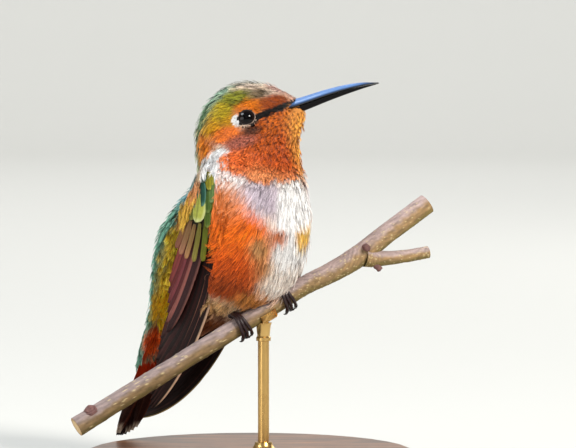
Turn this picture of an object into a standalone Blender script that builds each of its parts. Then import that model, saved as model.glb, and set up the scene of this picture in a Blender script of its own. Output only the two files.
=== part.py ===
"""A perched hummingbird, life size, as a still museum model: the bird grips a cut, forked
twig, and one rod holds the twig above a round base. Metres, +Z up.

The origin is the centre of the base's underside. The bill points along +X, and the breast
faces between +X and -Y. The plumage is modelled to its outer surface.
"""

from math import cos, pi, radians, sin, sqrt

import bmesh
import bpy
from mathutils import Matrix, Vector

MM = 0.001
GAP = 0.3 * MM  # free space between neighbouring pieces
SEAM = 0.12 * MM  # between the two halves of the shut bill

# Posture, in degrees. A yaw of 0 faces -Y and 90 faces +X.
TRUNK_YAW = 45
TRUNK_LEAN = 28  # the trunk leans forward of upright
HEAD_YAW = 80
BILL_RISE = 16

RIGHT, LEFT = -1, 1
SIDES = {"right": RIGHT, "left": LEFT}


def millimetres(*numbers):
    return Vector(numbers) * MM


def smoothed(rows, steps):
    """The rows of numbers, with a Catmull-Rom curve's rows between each pair."""
    rows = [Vector(row) for row in rows]
    padded = [2 * rows[0] - rows[1], *rows, 2 * rows[-1] - rows[-2]]
    dense = []
    for a, b, c, d in zip(padded, padded[1:], padded[2:], padded[3:]):
        for step in range(steps):
            t = step / steps
            bend = (2 * a - 5 * b + 4 * c - d) * t**2 + (3 * b - a - 3 * c + d) * t**3
            dense.append(b + ((c - a) * t + bend) / 2)
    return [*dense, rows[-1]]


def posture(origin, yaw, lean):
    """A frame whose x is forward, y the bird's left, and z up its trunk or crown."""
    turn = Matrix.Rotation(radians(yaw - 90), 4, "Z")
    return Matrix.Translation(origin) @ turn @ Matrix.Rotation(radians(lean), 4, "Y")


TRUNK = posture(millimetres(-2.3, -1.5, 43.6), TRUNK_YAW, TRUNK_LEAN)
HEAD = posture(millimetres(-1.25, -3.5, 62.3), HEAD_YAW, -BILL_RISE)

# Cross sections of the plumage, in millimetres: height up the frame, then its rear and
# front, half its width, and how much it narrows towards the front.
TRUNK_SECTIONS = (
    (-36.0, -10.7, -9.2, 2.2, 0.0),
    (-30.0, -11.1, -6.8, 3.6, 0.0),
    (-23.0, -11.2, -0.5, 5.8, 0.0),
    (-16.6, -12.2, 5.6, 8.5, 0.05),
    (-11.0, -12.8, 10.6, 11.4, 0.0),
    (-6.0, -13.2, 14.0, 13.1, 0.0),
    (0.5, -11.7, 14.0, 12.6, 0.0),
    (7.0, -9.4, 12.6, 10.9, 0.0),
    (12.0, -9.9, 9.2, 9.6, 0.0),
    (15.0, -9.4, 7.0, 8.0, 0.0),
)
HEAD_SECTIONS = (
    (-12.6, -7.4, 6.6, 6.0, 0.1),
    (-9.8, -9.5, 8.6, 7.4, 0.15),
    (-5.6, -10.0, 9.4, 6.9, 0.22),
    (-1.6, -9.4, 11.0, 6.6, 0.36),
    (1.4, -8.4, 11.3, 6.6, 0.36),
    (3.6, -7.2, 9.5, 6.1, 0.27),
    (5.8, -4.8, 6.4, 4.6, 0.15),
    (7.4, -1.4, 2.2, 1.8, 0.0),
)
SECTION_SIDES = 32
PLUMAGE_VOXEL = 0.75 * MM
PLUMAGE_SMOOTHING = 12
PLUMAGE_SHARE = 0.07  # of the triangles, kept where the form is nearly flat

# The planes that part the bird: frame and height along its z, in millimetres.
CHIN_CUT = (HEAD, -2.6)
COLLAR_CUT = (TRUNK, 8.0)

EYE_RADIUS = 2.1 * MM
EYE_PLACE = (1.9, 4.9, 0.7)  # forward, out to the side and up in HEAD, in millimetres

# The bill's middle line in HEAD, forward and up, with its radius, in millimetres.
BILL_LINE = (
    (8.2, 0.55, 1.25),
    (12.4, 0.75, 1.12),
    (16.0, 0.98, 1.0),
    (19.5, 1.06, 0.82),
    (22.6, 0.94, 0.56),
    (24.6, 0.68, 0.26),
    (25.5, 0.55, 0.12),
)

# The middle line of a folded wing from wrist to tip: forward, out to the side and up the
# trunk, in millimetres, as the four handles of a Bezier curve.
WING_HANDLES = {
    RIGHT: ((-3.5, 9.8, 9.0), (8.5, 16.0, 0.0), (-2.0, 4.5, -27.0), (-3.8, 3.9, -40.0)),
    LEFT: ((-6.4, 10.2, 5.5), (-4.5, 15.5, -3.0), (6.0, 7.2, -31.5), (-12.0, 7.8, -47.2)),
}
WING_CURL = (15 * MM, 42 * MM)  # how the wing wraps round the flank, at wrist and tip
FEATHER_THICK = 0.5 * MM
# The room for a wing in the flank: along it, then in millimetres its trailing and leading
# limits and its floor.
WING_ROOM = (
    (-0.045, -3.0, 2.2, -1.1),
    (0.02, -5.4, 4.5, -1.1),
    (0.12, -5.9, 4.8, -1.3),
    (0.17, -6.3, 4.8, -4.3),
    (0.40, -7.8, 5.2, -4.3),
    (0.60, -7.8, 4.8, -4.3),
    (0.82, -6.2, 3.6, -4.3),
)
WING_ROOM_TOP = 6.0
PRIMARIES = 10
SECONDARIES = 6
WING_COVERTS = 7

# The tail's plane: its root in TRUNK, forward and up, and how far it tilts dorsally.
TAIL_ROOT = (-8.6, -21.5)
TAIL_TILT = 1
RECTRICES = 5  # on each side
RECTRIX_WIDTH = 3.8 * MM
TAIL_LENGTH = 27 * MM
TAIL_FAN = 0.6  # degrees between neighbours
TAIL_CAMBER = 20 * MM

# The twig is straight where the feet grip it, and bends past its fork.
GRIP = millimetres(2.7, -5.0, 29.6)
TWIG_RUN = Vector((1.0, 0.364, 0.597)).normalized()
TWIG_RADIUS = 1.7 * MM
FEET_ALONG = {RIGHT: -5.4 * MM, LEFT: 4.1 * MM}  # along the twig from GRIP
# The stem's middle line: millimetres along it from GRIP, how far it strays up, and its
# thickness as a share of TWIG_RADIUS.
STEM = (
    (-40.0, 0.0, 1.03),
    (-18.0, 0.0, 0.97),
    (0.0, 0.0, 1.0),
    (8.0, 0.0, 1.0),
    (15.0, -0.7, 1.08),
    (20.0, -0.8, 1.15),
    (26.0, 0.0, 1.08),
    (35.5, 1.0, 1.08),
)
# Stubs of lost twigs at the fork, from root to tip.
SPURS = ((20.6, 1.3, 39.0, 23.4, 0.9, 36.3), (20.4, 1.2, 40.2, 21.0, -1.4, 40.4))
# The side twig's middle line, with its radius, in millimetres.
SIDE_TWIG = (
    (20.5, 0.8, 38.6, 1.7),
    (22.5, 1.5, 38.3, 1.45),
    (26.6, 3.0, 38.5, 1.2),
    (30.3, 4.2, 39.0, 1.12),
    (32.0, 4.8, 39.3, 1.1),
)
TOE_RADIUS = 0.42 * MM
CLAW_RADIUS = 0.27 * MM
HEEL_RADIUS = 0.8 * MM
TOE_SPREAD = 0.95 * MM
SHANK_TOP = (4.8, 2.5, -6.0)  # in TRUNK: forward, out to the side and up

BASE_RADIUS = 30 * MM
BASE_HEIGHT = 4 * MM
BASE_EDGE = 0.8 * MM
ROD_RADIUS = 1.0 * MM
ROD_ALONG = -0.3 * MM  # where the rod meets the twig, along it from GRIP

COLOURS = {
    "green_plumage": (0.22, 0.33, 0.12, 0.55, 0.1),
    "orange_plumage": (0.72, 0.24, 0.05, 0.6, 0.0),
    "pale_plumage": (0.85, 0.80, 0.76, 0.7, 0.0),
    "flight_feathers": (0.10, 0.05, 0.05, 0.5, 0.0),
    "green_coverts": (0.20, 0.27, 0.06, 0.5, 0.1),
    "bill": (0.03, 0.03, 0.04, 0.3, 0.0),
    "eye": (0.01, 0.008, 0.008, 0.05, 0.0),
    "feet": (0.06, 0.03, 0.035, 0.45, 0.0),
    "bark": (0.36, 0.28, 0.24, 0.8, 0.0),
    "walnut": (0.16, 0.09, 0.05, 0.4, 0.0),
    "brass": (0.70, 0.52, 0.25, 0.3, 1.0),
}


def clear_scene():
    for old in list(bpy.data.objects):
        bpy.data.objects.remove(old)


def collection(name):
    made = bpy.data.collections.new(name)
    bpy.context.scene.collection.children.link(made)
    return made


def material(name):
    made = bpy.data.materials.new(name)
    made.use_nodes = True
    red, green, blue, rough, metal = COLOURS[name]
    shader = made.node_tree.nodes["Principled BSDF"]
    shader.inputs["Base Color"].default_value = (red, green, blue, 1)
    shader.inputs["Roughness"].default_value = rough
    shader.inputs["Metallic"].default_value = metal
    return made


def add_object(name, mesh, where):
    made = bpy.data.objects.new(name, mesh)
    where.objects.link(made)
    return made


def mesh_from(bm, name):
    mesh = bpy.data.meshes.new(name)
    bm.to_mesh(mesh)
    bm.free()
    return mesh


def hidden(helper):
    helper.hide_render = True
    helper.display_type = "WIRE"
    return helper


def part(name, mesh, colour, angle=35):
    """A finished piece of the bird or its stand, in its own named node."""
    made = add_object(name, mesh, PARTS)
    mesh.materials.clear()
    mesh.materials.append(MATERIALS[colour])
    mesh.shade_smooth()
    mesh.set_sharp_from_angle(angle=radians(angle))
    return made


def baked(helper):
    """The helper's mesh with its modifiers applied, in world space. The helper goes."""
    graph = bpy.context.evaluated_depsgraph_get()
    mesh = bpy.data.meshes.new_from_object(helper.evaluated_get(graph))
    mesh.transform(helper.matrix_world)
    bpy.data.objects.remove(helper)
    return mesh


def boolean(target, operation, other):
    made = target.modifiers.new(operation.title(), "BOOLEAN")
    made.operation = operation
    made.solver = "EXACT"
    made.object = other


def joined(name, helpers):
    """One closed mesh from overlapping helpers."""
    first, *rest = helpers
    group = bpy.data.collections.new(name + "_parts")
    CUTTERS.children.link(group)
    for other in rest:
        group.objects.link(hidden(other))
    union = first.modifiers.new("Union", "BOOLEAN")
    union.operation = "UNION"
    union.solver = "EXACT"
    union.operand_type = "COLLECTION"
    union.collection = group
    bpy.context.view_layer.update()
    mesh = baked(first)
    for other in rest:
        bpy.data.objects.remove(other)
    bpy.data.collections.remove(group)
    mesh.name = name
    return mesh


def sphere(name, centre, radius, segments=24):
    bm = bmesh.new()
    rings = segments // 2
    bmesh.ops.create_uvsphere(bm, u_segments=segments, v_segments=rings, radius=radius)
    bmesh.ops.translate(bm, verts=bm.verts, vec=centre)
    return add_object(name, mesh_from(bm, name), CUTTERS)


def tube(name, points, radii, resolution=2):
    """A round limb through these points, thick as the radii say, with filled ends."""
    curve = bpy.data.curves.new(name, "CURVE")
    curve.dimensions = "3D"
    curve.bevel_depth = 1.0
    curve.bevel_resolution = resolution
    curve.use_fill_caps = True
    spline = curve.splines.new("POLY")
    spline.points.add(len(points) - 1)
    for at, place, radius in zip(spline.points, points, radii):
        at.co = (*place, 1)
        at.radius = radius
    guide = add_object(name, curve, CUTTERS)
    bpy.context.view_layer.update()
    mesh = baked(guide)
    bm = bmesh.new()
    bm.from_mesh(mesh)
    bmesh.ops.remove_doubles(bm, verts=bm.verts, dist=0.01 * MM)
    bmesh.ops.recalc_face_normals(bm, faces=bm.faces)
    bm.to_mesh(mesh)
    bm.free()
    return add_object(name, mesh, CUTTERS)


def slab(name, frame, low, high, size=70 * MM):
    """A wide box between two heights along the frame's z, given in metres."""
    bm = bmesh.new()
    bmesh.ops.create_cube(bm, size=1)
    bmesh.ops.scale(bm, verts=bm.verts, vec=(size, size, high - low))
    bmesh.ops.translate(bm, verts=bm.verts, vec=(0, 0, (low + high) / 2))
    bmesh.ops.transform(bm, verts=bm.verts, matrix=frame)
    return hidden(add_object(name, mesh_from(bm, name), CUTTERS))


def block(name, place, along, across):
    """A closed block with two curved faces. place(u, v, w) gives its points: u from 0 to 1,
    v from -1 to 1, and w 0 on the inner face and 1 on the outer."""
    bm = bmesh.new()
    grid = {}
    for i in range(along + 1):
        for j in range(across + 1):
            for w in (0, 1):
                grid[i, j, w] = bm.verts.new(place(i / along, 2 * j / across - 1, w))
    for i in range(along):
        for j in range(across):
            for w in (0, 1):
                corners = ((i, j), (i + 1, j), (i + 1, j + 1), (i, j + 1))
                bm.faces.new([grid[x, y, w] for x, y in corners])
    rim = [(i, 0) for i in range(along)] + [(along, j) for j in range(across)]
    rim += [(i, across) for i in range(along, 0, -1)] + [(0, j) for j in range(across, 0, -1)]
    for a, b in zip(rim, rim[1:] + rim[:1]):
        bm.faces.new((grid[*a, 0], grid[*b, 0], grid[*b, 1], grid[*a, 1]))
    bmesh.ops.recalc_face_normals(bm, faces=bm.faces)
    return add_object(name, mesh_from(bm, name), CUTTERS)


# ---- plumage -------------------------------------------------------------------------


def section_ring(frame, height, rear, front, half_width, narrowing):
    """One cross section of the plumage, as points round it."""
    middle, depth = (rear + front) / 2, (front - rear) / 2
    points = []
    for i in range(SECTION_SIDES):
        turn = 2 * pi * i / SECTION_SIDES
        aside = half_width * sin(turn) * (1 - narrowing * cos(turn))
        points.append(frame @ millimetres(middle + depth * cos(turn), aside, height))
    return points


def add_loft(bm, frame, sections):
    """A closed skin over the sections, from the lowest to the highest."""
    rows = smoothed(sections, 3)
    rings = [[bm.verts.new(point) for point in section_ring(frame, *row)] for row in rows]
    for low, high in zip(rings, rings[1:]):
        for i in range(SECTION_SIDES):
            j = (i + 1) % SECTION_SIDES
            bm.faces.new((low[i], low[j], high[j], high[i]))
    bm.faces.new(rings[0][::-1])
    bm.faces.new(rings[-1])


def plumage():
    """Head, neck and trunk as one rounded body, before they are parted."""
    bm = bmesh.new()
    add_loft(bm, TRUNK, TRUNK_SECTIONS)
    add_loft(bm, HEAD, HEAD_SECTIONS)
    body = add_object("plumage", mesh_from(bm, "plumage"), CUTTERS)
    remesh = body.modifiers.new("Blend", "REMESH")
    remesh.mode = "VOXEL"
    remesh.voxel_size = PLUMAGE_VOXEL
    smooth = body.modifiers.new("Smooth", "SMOOTH")
    smooth.factor = 0.5
    smooth.iterations = PLUMAGE_SMOOTHING
    fewer = body.modifiers.new("Fewer", "DECIMATE")
    fewer.ratio = PLUMAGE_SHARE
    bpy.context.view_layer.update()
    return baked(body)


def flesh_part(name, colour, mesh, keep=(), cut=()):
    made = part(name, mesh.copy(), colour, angle=60)
    for zone in keep:
        boolean(made, "INTERSECT", zone)
    for cutter in cut:
        boolean(made, "DIFFERENCE", hidden(cutter))
    return made


def head_neck_trunk(mesh, pockets):
    """Parts the body at the chin and the collar, and lets in what the plumage holds."""
    far = 60 * MM
    head_frame, chin = CHIN_CUT[0], CHIN_CUT[1] * MM
    trunk_frame, collar = COLLAR_CUT[0], COLLAR_CUT[1] * MM
    above_chin = slab("above_chin", head_frame, chin, far)
    below_collar = slab("below_collar", trunk_frame, -far, collar)
    head_room = slab("head_room", head_frame, chin - GAP, far)
    trunk_room = slab("trunk_room", trunk_frame, -far, collar + GAP)
    flesh_part("head", "green_plumage", mesh, [above_chin], [pockets["bill"], *pockets["eyes"]])
    flesh_part("neck", "orange_plumage", mesh, cut=[head_room, trunk_room, *pockets["wings"]])
    flesh_part("trunk", "pale_plumage", mesh, [below_collar], pockets["trunk"] + pockets["wings"])


# ---- eyes and bill -------------------------------------------------------------------


def eye_centre(side):
    forward, out, up = EYE_PLACE
    return HEAD @ millimetres(forward, side * out, up)


def eyes():
    """Two round eyes, and the sockets that hold them."""
    for label, side in SIDES.items():
        ball = sphere("eye", eye_centre(side), EYE_RADIUS, segments=16)
        part(f"eye_{label}", baked(ball), "eye")
    return [sphere("socket", eye_centre(side), EYE_RADIUS + GAP, 16) for side in SIDES.values()]


def bill():
    """The straight bill in two halves, and the pocket that holds its base."""
    rows = smoothed(BILL_LINE, 2)
    line = [HEAD @ millimetres(forward, 0, up) for forward, up, _ in rows]
    radii = [radius * MM for *_, radius in rows]
    far = 10 * MM
    gape = BILL_LINE[0][1] * MM
    halves = {"bill_upper": (gape + SEAM / 2, far), "bill_lower": (-far, gape - SEAM / 2)}
    for name, (low, high) in halves.items():
        made = part(name, baked(tube("bill", line, radii)), "bill")
        boolean(made, "INTERSECT", slab(name + "_side", HEAD, low, high))
    line[0] += (line[0] - line[1]).normalized() * GAP
    return tube("bill_pocket", line, [radius + GAP for radius in radii])


# ---- wings ---------------------------------------------------------------------------


def bezier(handles, t):
    a, b, c, d = handles
    s = 1 - t
    return a * s**3 + b * (3 * s * s * t) + c * (3 * s * t * t) + d * t**3


def wing_point(side, along, across, out):
    """A point of the folded wing: along is 0 at the wrist and 1 at the tip, across is
    positive towards the leading edge, and out is away from the body, in metres."""
    handles = [millimetres(ahead, side * aside, up) for ahead, aside, up in WING_HANDLES[side]]
    centre = bezier(handles, along)
    run = (bezier(handles, along + 0.01) - bezier(handles, along - 0.01)).normalized()
    outward = Vector((0, side, 0))
    outward = (outward - run * outward.dot(run)).normalized()
    leading = run.cross(outward) * side
    curl = WING_CURL[0] + (WING_CURL[1] - WING_CURL[0]) * min(max(along, 0), 1)
    angle = across / curl
    centre += leading * (curl * sin(angle)) - outward * (curl * (1 - cos(angle)))
    outward = outward * cos(angle) + leading * sin(angle)
    return TRUNK @ (centre + outward * out)


def vane(u, half_width, blunt=0.16):
    """Half the width of a feather at u from root to tip."""
    swell = 0.5 + 0.5 * sin(pi / 2 * min(1, u / 0.4))
    return half_width * max(blunt, swell * sqrt(max(0, 1 - u**5)))


def blade(side, root, tip, half_width, bow, out, segments):
    """One flight feather. root and tip are (along the wing, across it)."""

    def place(u, v, w):
        along = root[0] + (tip[0] - root[0]) * u
        across = root[1] + (tip[1] - root[1]) * u + bow * 4 * u * (1 - u)
        rise = out + (w - 0.5) * FEATHER_THICK
        return wing_point(side, along, across + v * vane(u, half_width), rise)

    return block("blade", place, segments, 1)


def primaries(side):
    """The outermost primary is the longest and lies nearest the body."""
    blades = []
    for i in range(PRIMARIES):
        inner = i / (PRIMARIES - 1)
        root = (0.20 + 0.10 * inner, (2.6 - 4.6 * inner) * MM)
        tip = (1.0 - 0.28 * inner**1.5, -4.2 * inner * MM)
        width, bow = (1.5 + 0.6 * inner) * MM, (1.3 - 0.8 * inner) * MM
        out = (-3.7 + 1.08 * inner) * MM
        blades.append(blade(side, root, tip, width, bow, out, segments=6))
    return joined("primaries", blades)


def secondaries(side):
    blades = []
    for i in range(SECONDARIES):
        inner = i / (SECONDARIES - 1)
        root = (0.16 + 0.04 * inner, (-0.4 - 3.6 * inner) * MM)
        tip = (0.66 - 0.16 * inner, (-2.4 - 3.4 * inner) * MM)
        out = (-1.8 + 0.5 * inner) * MM
        blades.append(blade(side, root, tip, 1.6 * MM, 0.3 * MM, out, segments=5))
    return joined("secondaries", blades)


def wing_coverts(side):
    """The small feathers of arm and hand as a pad, with the longest row as blades."""

    def pad(u, v, w):
        half_width = 4.4 * MM * sqrt(max(0.06, 1 - (2 * u - 1) ** 4))
        return wing_point(side, -0.03 + 0.26 * u, v * half_width - 0.4 * MM, (0.9 * w - 0.75) * MM)

    pieces = [block("pad", pad, 5, 3)]
    for i in range(WING_COVERTS):
        inner = i / (WING_COVERTS - 1)
        root = (0.14, (3.0 - 6.4 * inner) * MM)
        tip = (0.34 - 0.05 * inner, (2.4 - 6.2 * inner) * MM)
        out = (-0.45 + 0.22 * inner) * MM
        pieces.append(blade(side, root, tip, 1.05 * MM, 0, out, segments=3))
    return joined("coverts", pieces)


def wing_pocket(side):
    """Room for a folded wing in the flank, deeper where the feathers stack up."""
    rows = smoothed(WING_ROOM, 3)

    def place(u, v, w):
        along, trailing, leading, floor = rows[round(u * (len(rows) - 1))]
        across = trailing + (leading - trailing) * (v + 1) / 2
        return wing_point(side, along, across * MM, (WING_ROOM_TOP if w else floor) * MM)

    return block("wing_pocket", place, len(rows) - 1, 4)


def wings():
    for label, side in SIDES.items():
        part(f"wing_{label}_primaries", primaries(side), "flight_feathers")
        part(f"wing_{label}_secondaries", secondaries(side), "flight_feathers")
        part(f"wing_{label}_coverts", wing_coverts(side), "green_coverts")
    return [wing_pocket(side) for side in SIDES.values()]


# ---- tail ----------------------------------------------------------------------------


def tail_frame():
    """x runs down the tail, y to the bird's left and z out of its upper side."""
    forward, up = TAIL_ROOT
    turn = Matrix.Rotation(radians(90 + TAIL_TILT), 4, "Y")
    return TRUNK @ Matrix.Translation(millimetres(forward, 0, up)) @ turn


def tail_point(frame, along, across, rise):
    droop = across * across / (2 * TAIL_CAMBER)
    return frame @ Vector((along, across, rise + droop))


def rectrix(frame, side, order):
    """A tail feather. The middle pair, order 0, lies on top, and the outer ones below."""
    fan = radians(TAIL_FAN * (order + 0.35)) * side
    start = (0.1 + 0.18 * order) * MM * side
    length = TAIL_LENGTH * (1.0, 0.99, 0.97, 0.95, 0.92)[order]
    rise = (0.22 * order + 0.05 * (side > 0)) * MM

    def place(u, v, w):
        aside = v * vane(u, RECTRIX_WIDTH / 2, blunt=0.3)
        along = length * u * cos(fan) - aside * sin(fan)
        across = start + length * u * sin(fan) + aside * cos(fan)
        return tail_point(frame, along, across, rise + (0.5 - w) * FEATHER_THICK)

    return block("rectrix", place, 5, 1)


def tail():
    """Ten overlapping feathers, and the room for their roots under the coverts."""
    frame = tail_frame()
    feathers = [rectrix(frame, side, order) for order in range(RECTRICES) for side in SIDES.values()]
    part("tail", joined("tail", feathers), "flight_feathers")

    def place(u, v, w):
        return tail_point(frame, (-0.6 + 30 * u) * MM, v * 4.0 * MM, (0.45 + 2.0 * (w - 0.5)) * MM)

    return block("tail_pocket", place, 4, 4)


# ---- legs and feet -------------------------------------------------------------------


def twig_ring(along, angle, radius, aside=0.0):
    """A point round the straight twig. Angle 0 is its top and 90 its -Y face."""
    top = (Vector((0, 0, 1)) - TWIG_RUN * TWIG_RUN.z).normalized()
    front = TWIG_RUN.cross(top)
    turn = radians(angle)
    spoke = top * cos(turn) + front * sin(turn)
    return GRIP + TWIG_RUN * (along + aside) + spoke * radius


def toe(name, along, aside, first, last):
    """A toe that bends round the twig and ends in a claw clear of it."""
    hug = TWIG_RADIUS + TOE_RADIUS + GAP
    turn = 1 if last > first else -1
    steps = 5
    points, radii = [], []
    for i in range(steps):
        u = i / (steps - 1)
        angle = first + (last - first) * u
        points.append(twig_ring(along, angle, hug, aside * u))
        radii.append(TOE_RADIUS * (1 - 0.2 * u))
    for i, (step, lift, radius) in enumerate(((18, 0.0, 1.0), (40, 0.22, 0.8), (62, 0.62, 0.5))):
        place = twig_ring(along, last + turn * step, hug + lift * MM, aside * (1 + 0.15 * i))
        points.append(place)
        radii.append(CLAW_RADIUS * radius)
    return tube(name, points, radii, resolution=1)


def ankle(along):
    return twig_ring(along, -30, TWIG_RADIUS + GAP + 0.95 * MM)


def foot(along):
    """Three toes over the front of the twig and the hind toe behind it."""
    toes = [toe("toe", along, aside * TOE_SPREAD, -34, 150 - 8 * abs(aside)) for aside in (-1, 0, 1)]
    hind = toe("hind_toe", along, 0.2 * MM, -20, -165)
    heel = sphere("heel", ankle(along), HEEL_RADIUS, segments=10)
    return joined("foot", [heel, hind, *toes])


def foot_room(along):
    """Room for a foot where the belly feathers lie over it."""
    reach = 1.3 * TOE_SPREAD + TOE_RADIUS + GAP
    ends = [GRIP + TWIG_RUN * (along + step) for step in (-reach, reach)]
    hug = TWIG_RADIUS + 2 * TOE_RADIUS + 2 * GAP
    heel = sphere("heel_room", ankle(along), HEEL_RADIUS + GAP, segments=10)
    return [tube("toe_room", ends, [hug, hug]), heel]


def shank(side, grow=0.0):
    """The feathered leg, from the belly down to the ankle."""
    forward, out, up = SHANK_TOP
    top = TRUNK @ millimetres(forward, side * out, up)
    low = ankle(FEET_ALONG[side])
    rise = (top - low).normalized()
    low += rise * (HEEL_RADIUS + GAP - grow)
    top += rise * grow
    points = [top.lerp(low, t) for t in (0, 0.45, 0.8, 1)]
    radii = [radius * MM + grow for radius in (1.8, 1.6, 1.1, 0.6)]
    return tube("shank", points, radii)


def legs():
    """Feathered shanks and feet, and the room for both in the belly."""
    for label, side in SIDES.items():
        part(f"foot_{label}", foot(FEET_ALONG[side]), "feet")
        part(f"leg_{label}", baked(shank(side)), "pale_plumage")
    rooms = [shank(side, GAP) for side in SIDES.values()]
    return rooms + [room for along in FEET_ALONG.values() for room in foot_room(along)]


# ---- perch and stand -----------------------------------------------------------------


def spurs(grow):
    """The stubs of lost twigs at the fork."""
    ends = [(millimetres(*row[:3]), millimetres(*row[3:])) for row in SPURS]
    return [tube("spur", pair, [0.9 * MM + grow, 0.5 * MM + grow], 1) for pair in ends]


def perch():
    """The cut stem with its side twig, a bud and the scar of a lost twig at the fork."""
    rows = smoothed(STEM, 2)
    points = [GRIP + TWIG_RUN * (along * MM) + millimetres(0, 0, up) for along, up, _ in rows]
    radii = [TWIG_RADIUS * scale for *_, scale in rows]
    room = [radius + GAP for radius in radii]
    bud = [twig_ring(-36.5 * MM, 20, height * MM) for height in (0.4, 1.9, 2.5)]
    knots = [tube("bud", bud, [1.3 * MM, 0.9 * MM, 0.4 * MM], 1), *spurs(0)]
    stem = tube("stem", points, radii)
    part("perch_stem", joined("perch_stem", [stem, *knots]), "bark")
    side_rows = smoothed(SIDE_TWIG, 2)
    line = [millimetres(x, y, z) for x, y, z, _ in side_rows]
    side = tube("side", line, [radius * MM for *_, radius in side_rows])
    twig = part("perch_side_twig", baked(side), "bark")
    for cutter in (tube("side_room", points, room), *spurs(GAP)):
        boolean(twig, "DIFFERENCE", hidden(cutter))
    return tube("stem_room", points, room)


def stand():
    """A turned base and a rod that ends just under the stem."""
    outline = (
        (BASE_RADIUS - BASE_EDGE * 1.5, BASE_HEIGHT),
        (BASE_RADIUS - BASE_EDGE * 0.45, BASE_HEIGHT - BASE_EDGE * 0.45),
        (BASE_RADIUS, BASE_HEIGHT - BASE_EDGE * 1.5),
        (BASE_RADIUS, BASE_EDGE * 0.5),
        (BASE_RADIUS - BASE_EDGE * 0.5, 0),
    )
    bm = bmesh.new()
    verts = [bm.verts.new((0, 0, BASE_HEIGHT))]
    verts += [bm.verts.new((x, 0, z)) for x, z in outline]
    verts.append(bm.verts.new((0, 0, 0)))
    for a, b in zip(verts, verts[1:]):
        bm.edges.new((a, b))
    base = part("stand_base", mesh_from(bm, "stand_base"), "walnut")
    turned = base.modifiers.new("Turned", "SCREW")
    turned.steps = turned.render_steps = 36
    turned.use_merge_vertices = True
    turned.merge_threshold = 0.02 * MM
    top = GRIP + TWIG_RUN * ROD_ALONG
    foot_of_rod = Vector((top.x, top.y, BASE_HEIGHT + GAP))
    top.z -= TWIG_RADIUS / sqrt(1 - TWIG_RUN.z**2) + GAP + ROD_RADIUS * 0.75
    bm = bmesh.new()
    bmesh.ops.create_cone(
        bm,
        cap_ends=True,
        segments=24,
        radius1=ROD_RADIUS,
        radius2=ROD_RADIUS,
        depth=top.z - foot_of_rod.z,
        matrix=Matrix.Translation((foot_of_rod + top) / 2),
    )
    part("stand_rod", mesh_from(bm, "stand_rod"), "brass")


def hummingbird():
    pockets = {"eyes": eyes(), "bill": bill(), "wings": wings()}
    pockets["trunk"] = [tail(), perch(), *legs()]
    head_neck_trunk(plumage(), pockets)
    stand()


clear_scene()
PARTS = collection("hummingbird")
CUTTERS = collection("cutters")
MATERIALS = {name: material(name) for name in COLOURS}
hummingbird()
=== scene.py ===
"""The looks of the perched hummingbird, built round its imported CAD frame.

One skin stands for the plumage solids, and a coat of mesh feathers lies over it. Wings,
tail, eyes, bill, feet and twig get detailed pieces in the places that the solids give them.
Sizes below are in millimetres, in the bird's own head and trunk frames, unless said.
"""

from functools import partial
from math import cos, pi, radians, sin, sqrt

import bmesh
import bpy
import numpy as np
from mathutils import Matrix, Vector
from mathutils.bvhtree import BVHTree


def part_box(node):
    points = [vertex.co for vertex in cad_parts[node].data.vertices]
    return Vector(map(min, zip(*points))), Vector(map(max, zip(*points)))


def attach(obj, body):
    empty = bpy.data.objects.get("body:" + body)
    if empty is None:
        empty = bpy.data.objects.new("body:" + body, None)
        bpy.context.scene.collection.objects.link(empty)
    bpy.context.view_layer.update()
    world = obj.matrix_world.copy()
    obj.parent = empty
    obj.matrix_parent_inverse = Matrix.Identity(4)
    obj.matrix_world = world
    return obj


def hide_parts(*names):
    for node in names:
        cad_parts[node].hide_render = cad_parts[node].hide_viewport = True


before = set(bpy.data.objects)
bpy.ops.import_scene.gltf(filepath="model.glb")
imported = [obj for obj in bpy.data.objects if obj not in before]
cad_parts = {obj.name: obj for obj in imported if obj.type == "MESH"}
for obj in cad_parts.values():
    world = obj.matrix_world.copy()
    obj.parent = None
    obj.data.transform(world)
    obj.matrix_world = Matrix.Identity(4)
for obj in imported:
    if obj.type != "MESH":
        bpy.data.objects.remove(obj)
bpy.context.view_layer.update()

MM = 0.001
RANDOM = np.random.default_rng(11)
RIGHT, LEFT = -1, 1
SIDES = {"right": RIGHT, "left": LEFT}


# ---- the bird's frames and forms, as in the CAD source --------------------------------


def millimetres(*numbers):
    return Vector(numbers) * MM


def posture(origin, yaw, lean):
    """A frame whose x is forward, y the bird's left, and z up its trunk or crown."""
    turn = Matrix.Rotation(radians(yaw - 90), 4, "Z")
    return Matrix.Translation(origin) @ turn @ Matrix.Rotation(radians(lean), 4, "Y")


TRUNK = posture(millimetres(-2.3, -1.5, 43.6), 45, 28)
HEAD = posture(millimetres(-1.25, -3.5, 62.3), 80, -16)

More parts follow.
